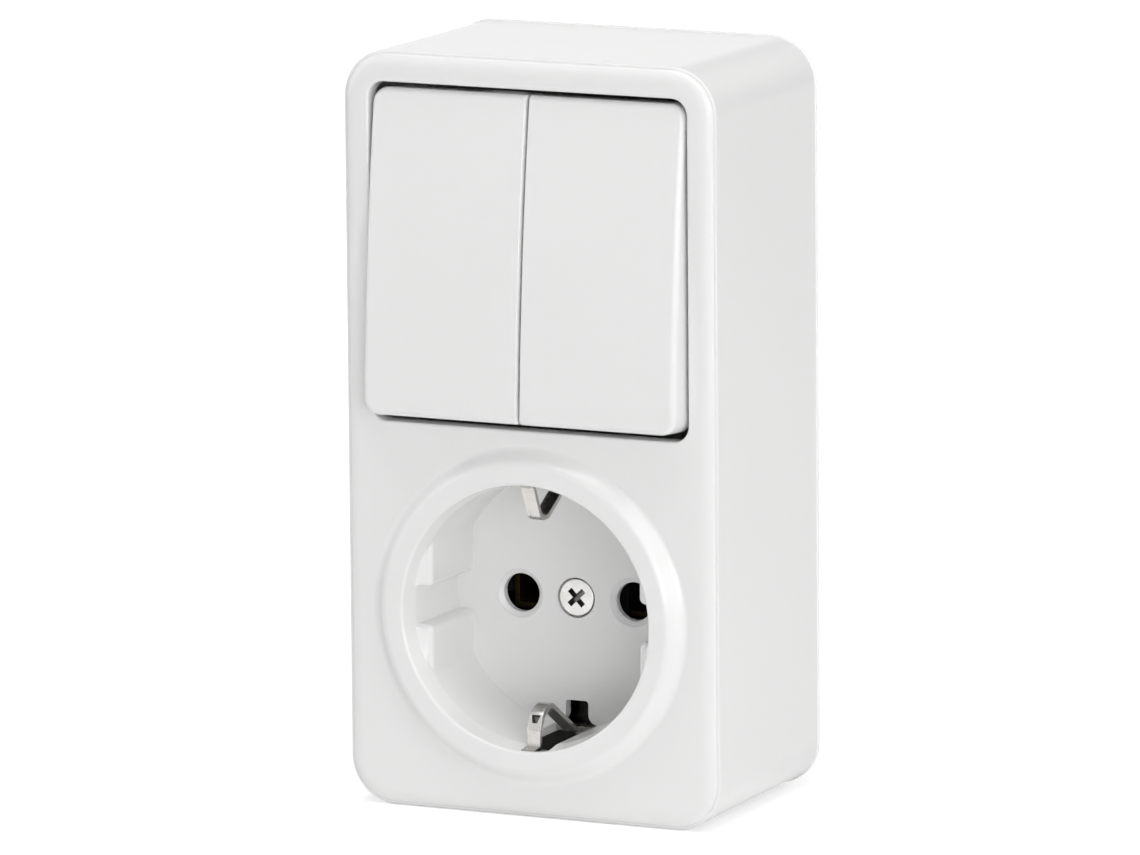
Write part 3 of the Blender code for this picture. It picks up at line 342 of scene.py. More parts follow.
glossyWhite = newMaterial("glossyWhitePlastic", mouldSurface, {"Skin Scale": 900})
rockerWhite = newMaterial("rockerWhitePlastic", mouldSurface, {
    "Skin Scale": 1100, "Skin Depth": 0.07, "Roughness": 0.24})
greyThermoset = newMaterial("greyThermoset", mouldSurface, {
    "Tone": (0.52, 0.52, 0.5, 1), "Variation": 0.1, "Skin Depth": 0.5, "Roughness": 0.55})
blackThermoset = newMaterial("blackThermoset", mouldSurface, {
    "Tone": (0.008, 0.008, 0.008, 1), "Variation": 0.2, "Skin Depth": 0.4, "Roughness": 0.7})
blackThermoset.node_tree.nodes["Principled BSDF"].inputs["Specular IOR Level"].default_value = 0.15
zincScrew = newMetal("zincPlatedScrew", {
    "Tone": (0.7, 0.69, 0.67, 1), "Line Scale": (900, 3500, 900), "Line Depth": 0.15, "Roughness": 0.26})
# painted shade: a dark zinc for the faces of the screw recesses and of the clip's dent, standing in for the
# shade in these hollows
recessPaintedShade = newMetal("recessPaintedShade", {"Tone": (0.16, 0.16, 0.155, 1), "Tarnish": 0.3, "Roughness": 0.3})
springSteel = newMetal("springSteelWire", {
    "Tone": (0.58, 0.58, 0.58, 1), "Line Depth": 0.1, "Roughness": 0.28})
rivetSilver = newMetal("contactRivetMetal", {"Tone": (0.82, 0.81, 0.79, 1), "Line Depth": 0.1})
rolledBrass = newMetal("rolledBrass", {
    "Tone": (0.6, 0.43, 0.2, 1), "Tarnish": 0.3, "Line Scale": (3500, 900, 400), "Roughness": 0.34})
# a nearly black brass tone, used for the pin contacts
nearBlackBrass = newMetal("nearBlackBrass", {
    "Tone": (0.05, 0.035, 0.018, 1), "Tarnish": 0.4, "Line Scale": (3500, 900, 400), "Roughness": 0.5})
# the strip is painted dark, as painted shade, where it lies nearer to the wall than 21.5 mm, behind the
# bowl's floor
nickelStrip = newMetal("nickelSpringStrip", {
    "Tone": (0.57, 0.555, 0.53, 1), "Tarnish": 0.12, "Line Scale": (4000, 500, 500), "Roughness": 0.2,
    "Painted Shade Behind": 0.0215})
finishes = {
    "white_plastic": glossyWhite, "grey_plastic": greyThermoset, "black_plastic": blackThermoset,
    "screw_steel": zincScrew, "spring_steel": springSteel, "contact_brass": rolledBrass,
    "contact_metal": rivetSilver, "earth_metal": nickelStrip,
}
print("materials made")


def finishPiece(obj, *replaced, material=None, grown=False):
    # the piece takes its body and its material slot from the first node that it stands for
    first = replaced[0]
    if not grown:
        obj.data.materials.clear()
        obj.data.materials.append(material or finishes[slotOf[first]])
    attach(obj, bodyOf[first])
    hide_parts(*replaced)
    return obj


# Cover: housing shell, switch opening, raised ring and bowl in one moulding

cover = {
    "width": 0.0618, "height": 0.1164, "front": 0.0384, "corner": 0.0073,
    "wall": 0.002, "frontWall": 0.0022, "backEdge": 0.0003,
    "lip": 0.0003, "crease": 0.0002, "crownWidth": 0.00215, "crownDrop": 0.001, "crownSteps": 16,
    "openingWidth": 0.05296, "openingHeight": 0.05207, "openingZ": 0.027515, "openingCorner": 0.0026,
    "openingEdge": 0.00035, "rimWall": 0.0012, "rimDepth": 0.003,
}
bowl = {
    "z": -0.02705, "ringRise": 0.0021, "faceRadius": 0.0232, "footRadius": 0.0263, "flankSteps": 24,
    "mouthRadius": 0.0205, "lip": 0.0005, "ledge": 0.0016, "ledgeStep": 0.0001, "radius": 0.02,
    "depth": 0.0164, "flat": 0.0173, "slotHalf": 0.0029, "slotCorner": 0.001, "blockEdge": 0.0008,
    "floorFillet": 0.0001, "wall": 0.0013, "floorThickness": 0.0018, "bossRadius": 0.0046, "bossDrop": 0.0014,
    "pinSpacing": 0.019, "pinRadius": 0.003, "pinLead": 0.0037, "pinLeadDepth": 0.0005,
    "pinSoftness": 0.0002, "screwRadius": 0.00315, "screwSeat": 0.0009, "shankRadius": 0.0018,
}
notch = {
    "neck": 0.0019, "window": 0.0035, "inner": 0.016, "outer": 0.0225, "corner": 0.0005,
    "neckLength": 0.0021, "windowFront": 0.0058, "taperFront": 0.0048, "frontReach": 0.0014,
    "narrow": 0.0012, "join": 0.0001, "overshoot": 0.001,
}


def bowlOutline(offset):
    # a circle with a flat on each side, each flat split by a slot; every offset has as many points
    radius = bowl["radius"] + min(offset, 0)
    flat = bowl["flat"] + offset
    slot = bowl["slotHalf"] + offset
    corner = bowl["slotCorner"] - offset
    flatTop = math.sqrt(radius**2 - flat**2)
    edge = math.degrees(math.atan2(flatTop, flat))
    slotAngle = math.degrees(math.asin(slot / radius))
    slotEnd = radius * math.cos(math.radians(slotAngle))
    half = arcPoints((0, 0), radius, 0, slotAngle, 6)
    half += [(slotEnd + (flat + corner - slotEnd) * i / 3, slot) for i in (1, 2)]
    half += arcPoints((flat + corner, slot + corner), corner, -90, -180, 5)
    start = slot + corner
    half += [(flat, start + (flatTop - start) * i / 8) for i in range(1, 8)]
    half += arcPoints((0, 0), radius, edge, 90, 36)
    top = half[:-1] + [(-x, z) for x, z in reversed(half[1:])]
    bottom = [(-x, -z) for x, z in top[:-1]]
    return [(x, z + bowl["z"]) for x, z in top + bottom[1:]]


def asCircle(radius):
    # the outline's own points, pushed out to a circle
    ring = []
    for x, z in bowlOutline(0):
        ray = Vector((x, z - bowl["z"])).normalized() * radius
        ring.append((ray.x, ray.y + bowl["z"]))
    return ring


def housingRows():
    # (inward, forward) from the back edge, over the side, the crease and the crown, to the flat front
    lip, steps = cover["lip"], cover["crownSteps"]
    low = cover["front"] - cover["crownDrop"] - lip
    rows = quarterRound(cover["backEdge"], 3)
    rows += [(x, low + y) for x, y in quarterRound(lip, 6)]
    start = lip + cover["crease"]
    for step in range(steps + 1):
        turn = math.radians(90 * step / steps)
        rows.append((start + cover["crownWidth"] * (1 - math.cos(turn)),
                     low + lip + cover["crownDrop"] * math.sin(turn)))
    return rows


def housingOutline(inward):
    width, height = cover["width"] - 2 * inward, cover["height"] - 2 * inward
    return roundedRect(width, height, cover["corner"] - inward, steps=20)


def openingOutline(outward):
    width, height = cover["openingWidth"] + 2 * outward, cover["openingHeight"] + 2 * outward
    return roundedRect(width, height, cover["openingCorner"] + outward, cover["openingZ"])


def openingRows():
    # (outward, forward) over the rounded edge of the opening, down its rim and round its back
    front, edge = cover["front"], cover["openingEdge"]
    rim, wall = front - cover["rimDepth"], cover["rimWall"]
    return [*arcPoints((edge, front - edge), edge, 90, 180, 6), (0, rim), (wall, rim),
            (wall, front - cover["frontWall"])]


def ringRows():
    # (radius, forward) from the foot of the ring up its S-shaped flank, over the face and into the mouth
    top, lip, steps = cover["front"] + bowl["ringRise"], bowl["lip"], bowl["flankSteps"]
    rows = []
    for step in range(steps + 1):
        share = 1 - step / steps
        ease = share * share * (3 - 2 * share)
        radius = bowl["faceRadius"] + (bowl["footRadius"] - bowl["faceRadius"]) * share
        rows.append((radius, top - bowl["ringRise"] * ease))
    rows += arcPoints((bowl["mouthRadius"] + lip, top - lip), lip, 90, 180, 9)
    rows.append((bowl["radius"] + bowl["ledgeStep"], cover["front"] - bowl["ledge"] + lip))
    return rows


def bowlRows():
    # (offset, forward) from the ledge of the flats down to the floor
    ledge, floor = cover["front"] - bowl["ledge"], cover["front"] - bowl["depth"]
    edge, fillet = bowl["blockEdge"], bowl["floorFillet"]
    return [*arcPoints((edge, ledge - edge), edge, 90, 180, 6),
            *arcPoints((-fillet, floor + fillet), fillet, 0, -90, 4)]


def buildCover():
    shape = bmesh.new()
    front = cover["front"]
    outside = [addRow(shape, housingOutline(inward), forward) for inward, forward in housingRows()]
    bridgeRows(shape, outside)
    opening = [addRow(shape, openingOutline(outward), forward) for outward, forward in openingRows()]
    bridgeRows(shape, opening)
    ring = [addRow(shape, asCircle(radius), forward) for radius, forward in ringRows()]
    walls = [addRow(shape, bowlOutline(offset), forward) for offset, forward in bowlRows()]
    bridgeRows(shape, ring + walls)
    shape.faces.new(walls[-1])
    fillBetween(shape, [outside[-1], opening[0], ring[0]])
    behindFront = front - cover["frontWall"]
    inside = [addRow(shape, housingOutline(cover["wall"]), forward) for forward in (0, behindFront)]
    bridgeRows(shape, inside)
    bridgeRows(shape, [outside[0], inside[0]])
    outer = bowl["radius"] + bowl["wall"]
    bowlBack = front - bowl["depth"] - bowl["floorThickness"]
    bossBack = bowlBack - bowl["bossDrop"]
    under = [addRow(shape, asCircle(radius), forward) for radius, forward in (
        (outer, behindFront), (outer, bowlBack), (bowl["bossRadius"], bowlBack),
        (bowl["bossRadius"], bossBack))]
    bridgeRows(shape, under)
    shape.faces.new(under[-1])
    fillBetween(shape, [inside[-1], opening[-1], under[0]])
    return newObject("coverMoulding", meshFrom(shape, "coverMoulding"))


def earthNotch(side):
    # the slot for an earth clip: narrow in the floor, then curving out to the wide cut in the wall
    neck, wide, corner = notch["neck"], notch["window"], notch["corner"]
    half = arcPoints((neck - corner, notch["inner"] + corner), corner, -90, 0, 6)
    half += arcPoints((wide, notch["inner"] + notch["neckLength"]), wide - neck, 180, 90, 10)
    half.append((wide, notch["outer"]))
    outline = half + [(-x, z) for x, z in reversed(half)]
    return [(x, bowl["z"] + side * z) for x, z in outline]


def pinHoleProfile(floor, back):
    soft, lead, radius = bowl["pinSoftness"], bowl["pinLead"], bowl["pinRadius"]
    leadEnd, above = floor - bowl["pinLeadDepth"], floor + notch["overshoot"]
    return [(0, above), (lead + soft, above), *arcPoints((lead + soft, floor - soft), soft, 90, 180, 4),
            (radius + soft, leadEnd), (radius, leadEnd - soft), (radius, back), (0, back)]


def screwHoleProfile(floor, back):
    head, shank = bowl["screwRadius"], bowl["shankRadius"]
    seat, above = floor - bowl["screwSeat"], floor + notch["overshoot"]
    return [(0, above), (head, above), (head, seat), (shank, seat - (head - shank)), (shank, back), (0, back)]


def buildCoverCuts():
    front, wide, narrow = cover["front"], notch["window"], notch["narrow"]
    floor = front - bowl["depth"]
    back = floor - bowl["floorThickness"] - bowl["bossDrop"] - notch["overshoot"]
    windowFront = front - notch["windowFront"]
    tools = [turned("screwHole", screwHoleProfile(floor, back), 0, bowl["z"])]
    for side in (-1, 1):
        tools.append(loft("notch", [(earthNotch(side), back), (earthNotch(side), windowFront)]))
        # towards the front the slot narrows on one side only
        sections = []
        for half, forward in ((wide, windowFront - notch["join"]), (narrow, front - notch["taperFront"]),
                              (narrow, front + notch["frontReach"])):
            corners = [(half, bowl["flat"]), (half, notch["outer"]),
                       (-wide, notch["outer"]), (-wide, bowl["flat"])]
            sections.append(([(side * x, bowl["z"] + side * z) for x, z in corners], forward))
        tools.append(loft("slot", sections))
        x = side * bowl["pinSpacing"] / 2
        tools.append(turned("pinHole", pinHoleProfile(floor, back), x, bowl["z"], 72))
    return tools


coverPiece = carve(buildCover(), buildCoverCuts())
softShade(coverPiece)
finishPiece(coverPiece, "cover")
print("cover made:", len(coverPiece.data.polygons), "faces")


# Rockers: crowned caps, tilted as they rest, with the hooks that hold their toggles

rocker = {
    "gap": 0.00055, "seam": 0.0004, "height": 0.0498, "face": 0.005, "skirt": 0.002, "wall": 0.0014,
    "frontWall": 0.0018, "crownRadius": 0.425, "crownBlend": 0.0005, "corner": 0.0025, "leastCorner": 0.0002,
    "seamCorner": 0.0003, "edge": 0.0009, "seamEdge": 0.00025, "tilt": 5.3, "rows": 40, "hookWidth": 0.008,
    "hookThickness": 0.0012, "hookBarb": 0.0009, "hookLength": 0.0048, "toggleHalf": 0.0062, "play": 0.0003,
    "overlap": 0.0005,
}


def rockerOutline(side, inward):
    # one rocker seen from the front: round outer corners, tight corners at the seam
    half = (cover["openingWidth"] / 2 - rocker["gap"] - rocker["seam"] / 2) / 2
    outer, tight = max(rocker["corner"] - inward, rocker["leastCorner"]), rocker["seamCorner"]
    seamInward = inward * rocker["seamEdge"] / rocker["edge"]
    outerX, seamX, topZ = half - inward - outer, tight - half + seamInward, rocker["height"] / 2 - inward
    corners = [(outerX, topZ - outer, outer, 0), (seamX, topZ - tight, tight, 90),
               (seamX, tight - topZ, tight, 180), (outerX, outer - topZ, outer, 270)]
    points = []
    for x, z, radius, start in corners:
        points += arcPoints((x, z), radius, start, start + 90, 10)
    return [(side * x, z) for x, z in points]


def rockerHooks():
    deep = rocker["face"] - rocker["frontWall"]
    low = deep - rocker["hookLength"]
    hooks = []
    for end in (-1, 1):
        inside = end * (rocker["toggleHalf"] + rocker["play"])
        half, barbHalf = rocker["hookWidth"] / 2, rocker["hookWidth"] / 2 - rocker["play"]
        arm = sorted((inside, inside + end * rocker["hookThickness"]))
        barb = sorted((inside - end * rocker["hookBarb"], inside + end * rocker["overlap"]))
        hooks.append(boxBetween("hook", (-half, half), (low, deep + rocker["overlap"]), arm))
        barbLimits = (low + rocker["play"], low + 3 * rocker["overlap"])
        hooks.append(boxBetween("barb", (-barbHalf, barbHalf), barbLimits, barb))
    return hooks


def buildRocker(name, side, jointName, nodeName):
    edge, face, skirt = rocker["edge"], rocker["face"], rocker["skirt"]
    deep = face - rocker["frontWall"]
    rows = [(0, -skirt), *arcPoints((edge, face - edge), edge, 180, 90, 10)]
    shape = bmesh.new()
    outer = [addRow(shape, rockerOutline(side, inward), forward) for inward, forward in rows]
    inner = [addRow(shape, rockerOutline(side, rocker["wall"]), forward) for forward in (-skirt, deep)]
    bridgeRows(shape, outer)
    bridgeRows(shape, [outer[0], *inner])
    shape.faces.new(outer[-1])
    shape.faces.new(inner[-1])
    for step in range(1, rocker["rows"]):
        level = rocker["height"] * (step / rocker["rows"] - 0.5)
        everything = [*shape.verts, *shape.edges, *shape.faces]
        bmesh.ops.bisect_plane(shape, geom=everything, plane_co=(0, 0, level), plane_no=(0, 0, 1))
    for vert in shape.verts:
        # only the outer face is crowned
        rise = max(0.0, min(1.0, (-vert.co.y - deep) / rocker["crownBlend"]))
        vert.co.y += rise * vert.co.z**2 / (2 * rocker["crownRadius"])
    made = newObject(name, meshFrom(shape, name))
    carve(made, rockerHooks(), "UNION")
    turn = Matrix.Rotation(math.radians(-rocker["tilt"]), 4, "X")
    made.data.transform(Matrix.Translation(joints[jointName]["pos_m"]) @ turn)
    softShade(made)
    return finishPiece(made, nodeName, material=rockerWhite)


buildRocker("leftRockerCap", -1, "left_rocker_hinge", "left_rocker")
buildRocker("rightRockerCap", 1, "right_rocker_hinge", "right_rocker")
print("rockers made")


# Geometry Nodes helpers

placement = {"Turn": (0, 0, 0), "Seat": (0, 0, 0), "Material": None}


def newTree(name, inputs):
    tree = bpy.data.node_groups.new(name, "GeometryNodeTree")
    tree.interface.new_socket("Geometry", in_out="INPUT", socket_type="NodeSocketGeometry")
    addInputs(tree, {**inputs, **placement})
    tree.interface.new_socket("Geometry", in_out="OUTPUT", socket_type="NodeSocketGeometry")
    return tree


def endTree(tree, geometry, recess=False):
    # placed, made real and given its material, and a second, dark one for the faces of a recess, as painted
    # shade
    given = tree.nodes["given"].outputs
    placed = addNode(tree, "Transform", {
        "Geometry": geometry, "Translation": given["Seat"], "Rotation": given["Turn"]})
    real = addNode(tree, "RealizeInstances", {"Geometry": placed.outputs[0]})
    painted = addNode(tree, "SetMaterial", {
        "Geometry": real.outputs[0], "Material": given["Material"]})
    if recess:
        cut = addNode(tree, "InputNamedAttribute", {"Name": "recess"}, data_type="BOOLEAN")
        painted = addNode(tree, "SetMaterial", {
            "Geometry": painted.outputs[0], "Selection": cut.outputs["Attribute"],
            "Material": given["Recess Painted Shade"]})
    tree.links.new(painted.outputs[0], tree.nodes["result"].inputs[0])


def grow(name, tree, startMesh, values):
    made = newObject(name, startMesh)
    step = made.modifiers.new("grown", "NODES")
    step.node_group = tree
    for item in tree.interface.items_tree:
        if item.in_out == "INPUT" and item.name in values:
            value = values[item.name]
            step[item.identifier] = tuple(value) if isinstance(value, (Vector, list)) else value
    applyModifiers(made)
    shape = bmesh.new()
    shape.from_mesh(made.data)
    materials = list(made.data.materials)
    made.data = meshFrom(shape, name)
    for material in materials:
        made.data.materials.append(material)
    return made


def polyline(name, points):
    # a start mesh of edges through (x, y, z) points
    mesh = bpy.data.meshes.new(name)
    mesh.from_pydata([tuple(point) for point in points], [(i, i + 1) for i in range(len(points) - 1)], [])
    return mesh


# Turned metal pieces: a profile of (radius, 0, height) from the head's top down, with thread and recess

def turnedPieceTree():
    tree = newTree("turnedPiece", {
        "Sides": 32, "Thread Depth": 0.0, "Thread Pitch": 0.0005, "Thread Top": 0.0, "Thread End": -1.0,
        "Recess Length": 0.003, "Recess Width": 0.0008, "Recess Depth": 0.0, "Recess Taper": 0.0,
        "Recess Turn": 0.0, "Cross": False, "Recess Painted Shade": None})
    given, calc = tree.nodes["given"].outputs, partial(mathNode, tree)
    profile, sides, pitch = given["Geometry"], given["Sides"], given["Thread Pitch"]
    count = addNode(tree, "AttributeDomainSize", {"Geometry": profile}, component="MESH")
    across = calc("ADD", sides, 1)
    grid = addNode(tree, "MeshGrid", {
        "Vertices X": count.outputs["Point Count"], "Vertices Y": across})
    index = addNode(tree, "InputIndex").outputs[0]
    row = calc("FLOOR", calc("DIVIDE", calc("ADD", index, 0.5), across))
    share = calc("DIVIDE", calc("SUBTRACT", index, calc("MULTIPLY", row, across)), sides)
    sample = addNode(tree, "SampleIndex", {
        "Geometry": profile, "Index": row, "Value": addNode(tree, "InputPosition").outputs[0],
    }, data_type="FLOAT_VECTOR", domain="POINT")
    split = addNode(tree, "ShaderNodeSeparateXYZ", {0: sample.outputs[0]})
    radius, height = split.outputs[0], split.outputs[2]
    phase = calc("ADD", calc("DIVIDE", height, pitch), share)
    wave = calc("MULTIPLY", calc("PINGPONG", phase, 0.5), 2.0)
    masks = []
    for limit, sign in (("Thread Top", -1.0), ("Thread End", 1.0)):
        beyond = calc("MULTIPLY", calc("SUBTRACT", height, given[limit]), sign)
        masks.append(addNode(tree, "ShaderNodeClamp", {"Value": calc("DIVIDE", beyond, pitch)}).outputs[0])
    sunk = calc("MULTIPLY", calc("SUBTRACT", 1.0, wave), given["Thread Depth"])
    solid = calc("SUBTRACT", radius, calc("MULTIPLY", sunk, calc("MULTIPLY", *masks)))
    angle = calc("MULTIPLY", share, 2 * math.pi)
    x, y = (calc("MULTIPLY", solid, calc(part, angle)) for part in ("COSINE", "SINE"))
    lathe = addNode(tree, "SetPosition", {
        "Geometry": grid.outputs["Mesh"], "Position": combine(tree, x, y, height)})
    merged = addNode(tree, "MergeByDistance", {"Geometry": lathe.outputs[0], "Distance": 0.000001})
    tools = [recessTool(tree, given, quarter) for quarter in (0, 1)]
    second = addNode(tree, "Switch", {
        "Switch": given["Cross"], "True": tools[1]}, input_type="GEOMETRY")
    cut = addNode(tree, "MeshBoolean", {
        "Mesh 1": merged.outputs[0], "Self Intersection": True}, operation="DIFFERENCE", solver="EXACT")
    tree.links.new(tools[0], cut.inputs["Mesh 2"])
    tree.links.new(second.outputs[0], cut.inputs["Mesh 2"])
    chosen = addNode(tree, "Switch", {
        "Switch": calc("GREATER_THAN", given["Recess Depth"], 0.00001), "False": merged.outputs[0],
        "True": cut.outputs["Mesh"]}, input_type="GEOMETRY")
    endTree(tree, chosen.outputs[0], recess=True)
    return tree


def recessTool(tree, given, quarter):
    # a wing of the recess, narrower at its foot
    calc = partial(mathNode, tree)
    depth = calc("MULTIPLY", given["Recess Depth"], 2)
    size = combine(tree, given["Recess Length"], given["Recess Width"], depth)
    cube = addNode(tree, "MeshCube", {"Size": size})
    position = addNode(tree, "InputPosition").outputs[0]
    x, y, z = addNode(tree, "ShaderNodeSeparateXYZ", {0: position}).outputs
    pull = calc("MULTIPLY", calc("MULTIPLY", given["Recess Taper"], calc("LESS_THAN", z, 0)), -1.0)
    offset = combine(tree, calc("MULTIPLY", x, pull), calc("MULTIPLY", y, pull), 0)
    wing = addNode(tree, "SetPosition", {"Geometry": cube.outputs["Mesh"], "Offset": offset})
    turn = combine(tree, 0, 0, calc("ADD", given["Recess Turn"], quarter * math.pi / 2))
    turnedWing = addNode(tree, "Transform", {"Geometry": wing.outputs[0], "Rotation": turn})
    # the wing's faces are marked so that the recess they cut is painted dark, as painted shade
    marked = addNode(tree, "StoreNamedAttribute", {
        "Geometry": turnedWing.outputs[0], "Name": "recess", "Value": True,
    }, data_type="BOOLEAN", domain="FACE")
    return marked.outputs[0]


turnedPiece = turnedPieceTree()
towardFront = math.radians(90)  # turns a piece's own Z to the front


def threadedStretch(radius, top, end, pitch):
    # points down a shank, eight for each turn of the thread
    steps = max(2, round((top - end) / pitch * 8))
    return [(radius, top + (end - top) * i / steps) for i in range(steps + 1)]


def roundedEdge(radius, top, soft, steps=4):
    # from the flat top over the edge: (radius, height)
    return arcPoints((radius - soft, top - soft), soft, 90, 0, steps)


def frontMiddle(nodeName):
    low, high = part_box(nodeName)
    return Vector(((low.x + high.x) / 2, low.y, (low.z + high.z) / 2))


def lengthOf(nodeName):
    low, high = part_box(nodeName)
    return high.y - low.y


def growTurned(nodeName, profile, values):
    name = camelCase(nodeName)
    start = polyline(name, [(radius, 0, height) for radius, height in profile])
    settings = {"Turn": (towardFront, 0, 0), "Seat": frontMiddle(nodeName),
                "Material": finishes[slotOf[nodeName]], "Recess Painted Shade": recessPaintedShade}
    made = grow(name, turnedPiece, start, {**settings, **values})
    softShade(made, 35)
    return finishPiece(made, nodeName, grown=True)


coverScrew = {
    "sides": 72, "headRadius": 0.0029, "soft": 0.00022, "softSteps": 4, "headEdge": 0.0006, "neck": 0.002,
    "shank": 0.0015, "tip": 0.0007, "tipLength": 0.0008, "pitch": 0.0006, "threadDepth": 0.00022,
    "threadStart": 0.0006, "wingLength": 0.004, "wingWidth": 0.00105, "wingDepth": 0.0013, "wingTaper": 0.35,
    "cross": True,
}
terminalScrew = {
    "sides": 40, "headRadius": 0.0025, "soft": 0.0002, "softSteps": 4, "headEdge": 0.0011, "neck": 0.0011,
    "shank": 0.0015, "tip": 0.0012, "tipLength": 0.0003, "pitch": 0.0006, "threadDepth": 0.0002,
    "threadStart": 0.0003, "wingLength": 0.0075, "wingWidth": 0.0008, "wingDepth": 0.0006, "wingTaper": 0.0,
    "cross": False,
}
fixingScrew = {
    "sides": 40, "headRadius": 0.0027, "soft": 0.0006, "softSteps": 6, "headEdge": 0.0018, "neck": 0.0018,
    "shank": 0.0015, "tip": 0.0004, "tipLength": 0.0015, "pitch": 0.0011, "threadDepth": 0.00035,
    "threadStart": 0.0011, "wingLength": 0.003, "wingWidth": 0.0008, "wingDepth": 0.001, "wingTaper": 0.45,
    "cross": True,
}
# every screw with its kind and the angle of its slot or cross
screws = {
    "cover_screw": (coverScrew, 43), "left_output_terminal_screw": (terminalScrew, 12),
    "right_output_terminal_screw": (terminalScrew, -35), "live_busbar_screw": (terminalScrew, 60),
    "left_pin_contact_screw": (terminalScrew, -8), "right_pin_contact_screw": (terminalScrew, 28),
    "earth_screw": (terminalScrew, 75), "switch_body_screw_1": (fixingScrew, 20),
    "switch_body_screw_2": (fixingScrew, 50), "switch_body_screw_3": (fixingScrew, 5),
    "insert_screw_1": (fixingScrew, 33), "insert_screw_2": (fixingScrew, 70),
}


def buildScrew(nodeName, s, recessTurn):
    end, head = -lengthOf(nodeName), s["headRadius"]
    profile = [(0, 0), *roundedEdge(head, 0, s["soft"], s["softSteps"]), (head, -s["headEdge"])]
    profile += threadedStretch(s["shank"], -s["neck"], end + s["tipLength"], s["pitch"])
    profile += [(s["tip"], end), (0, end)]
    growTurned(nodeName, profile, {
        "Sides": s["sides"], "Thread Depth": s["threadDepth"], "Thread Pitch": s["pitch"],
        "Thread Top": -s["neck"] - s["threadStart"], "Thread End": end, "Recess Length": s["wingLength"],
        "Recess Width": s["wingWidth"], "Recess Depth": s["wingDepth"], "Recess Taper": s["wingTaper"],
        "Cross": s["cross"], "Recess Turn": math.radians(recessTurn)})


for nodeName, (kind, recessTurn) in screws.items():
    buildScrew(nodeName, kind, recessTurn)
print("screws made")


# Contact rivets: a low dome on a flat head, and a shank through the strip

rivet = {
    "radius": 0.0015, "head": 0.0006, "soft": 0.00015, "dome": 0.0001, "shank": 0.0007, "sides": 40,
    "movingLength": 0.0016, "movingFace": 0.0013, "offset": 0.0062, "bladeTilt": 7.95,
}


def buildRivet(nodeName, length, seat, turn):
    s = rivet
    domed = [(s["radius"] * 0.25 * i, -s["dome"] * (0.25 * i) ** 2) for i in range(4)]
    profile = [*domed, *roundedEdge(s["radius"], -s["dome"], s["soft"]), (s["radius"], -s["head"])]
    profile += [(s["shank"], -s["head"]), (s["shank"], -length), (0, -length)]
    growTurned(nodeName, profile, {"Sides": s["sides"], "Seat": seat, "Turn": (turn, 0, 0)})


def buildMovingContact(side):
    s = rivet
    tilt = math.radians(s["bladeTilt"])
    local = Vector((0, s["movingFace"], s["offset"]))
    local.rotate(Matrix.Rotation(tilt, 3, "X"))
    pivot = Vector(joints[side + "_blade_pivot"]["pos_m"])
    buildRivet(side + "_moving_contact", s["movingLength"], pivot + local, tilt - towardFront)


for side in ("left", "right"):
    buildMovingContact(side)
    fixed = side + "_fixed_contact"
    buildRivet(fixed, lengthOf(fixed), frontMiddle(fixed), towardFront)
print("contacts made")


# Plungers and coil springs, both on the tilted line of their rocker

plunger = {
    "radius": 0.002, "cup": 0.0016, "start": 0.009, "cupFloor": 0.012, "nose": 0.014,
    "tipCentre": 0.016668, "tipRadius": 0.0012, "soft": 0.0001, "sides": 48,
}
spring = {"radius": 0.00108, "wire": 0.00022, "wireSides": 10, "start": 0.00252, "end": 0.01098, "turns": 6.0}


def buildPlunger(side):
    s = plunger
    profile = [(0, -s["cupFloor"]), (s["cup"], -s["cupFloor"]), (s["cup"], -s["start"] - s["soft"]),
               (s["cup"] + s["soft"], -s["start"])]
    profile += roundedEdge(s["radius"], -s["start"], s["soft"], 2) + [(s["radius"], -s["nose"])]
    tip = arcPoints((0, -s["tipCentre"]), s["tipRadius"], -10, -90, 8)
    profile += tip[:-1] + [(0, tip[-1][1])]
    growTurned(side + "_plunger", profile, {
        "Sides": s["sides"], "Seat": joints[side + "_rocker_hinge"]["pos_m"],
        "Turn": (towardFront - math.radians(rocker["tilt"]), 0, 0)})


def coilSpringTree():
    tree = newTree("coilSpring", {
        "Turns": 6.0, "Coil Radius": 0.001, "Wire Radius": 0.0002, "Length": 0.008, "Points Per Turn": 28})
    given = tree.nodes["given"].outputs
    coil = addNode(tree, "CurveSpiral", {
        "Resolution": given["Points Per Turn"], "Rotations": given["Turns"],
        "Start Radius": given["Coil Radius"], "End Radius": given["Coil Radius"],
        "Height": given["Length"]})
    # the end turns lie closer together, as on a ground spring
    position = addNode(tree, "InputPosition").outputs[0]
    x, y, z = addNode(tree, "ShaderNodeSeparateXYZ", {0: position}).outputs
    eased = addNode(tree, "ShaderNodeMapRange", {
        "Value": z, "From Max": given["Length"], "To Max": given["Length"],
    }, interpolation_type="SMOOTHSTEP")
    spaced = addNode(tree, "SetPosition", {
        "Geometry": coil.outputs[0], "Position": combine(tree, x, y, eased.outputs["Result"])})
    wire = addNode(tree, "CurvePrimitiveCircle", {
        "Resolution": spring["wireSides"], "Radius": given["Wire Radius"]})
    swept = addNode(tree, "CurveToMesh", {
        "Curve": spaced.outputs[0], "Profile Curve": wire.outputs[0], "Fill Caps": True})
    endTree(tree, swept.outputs[0])
    return tree


coilSpring = coilSpringTree()


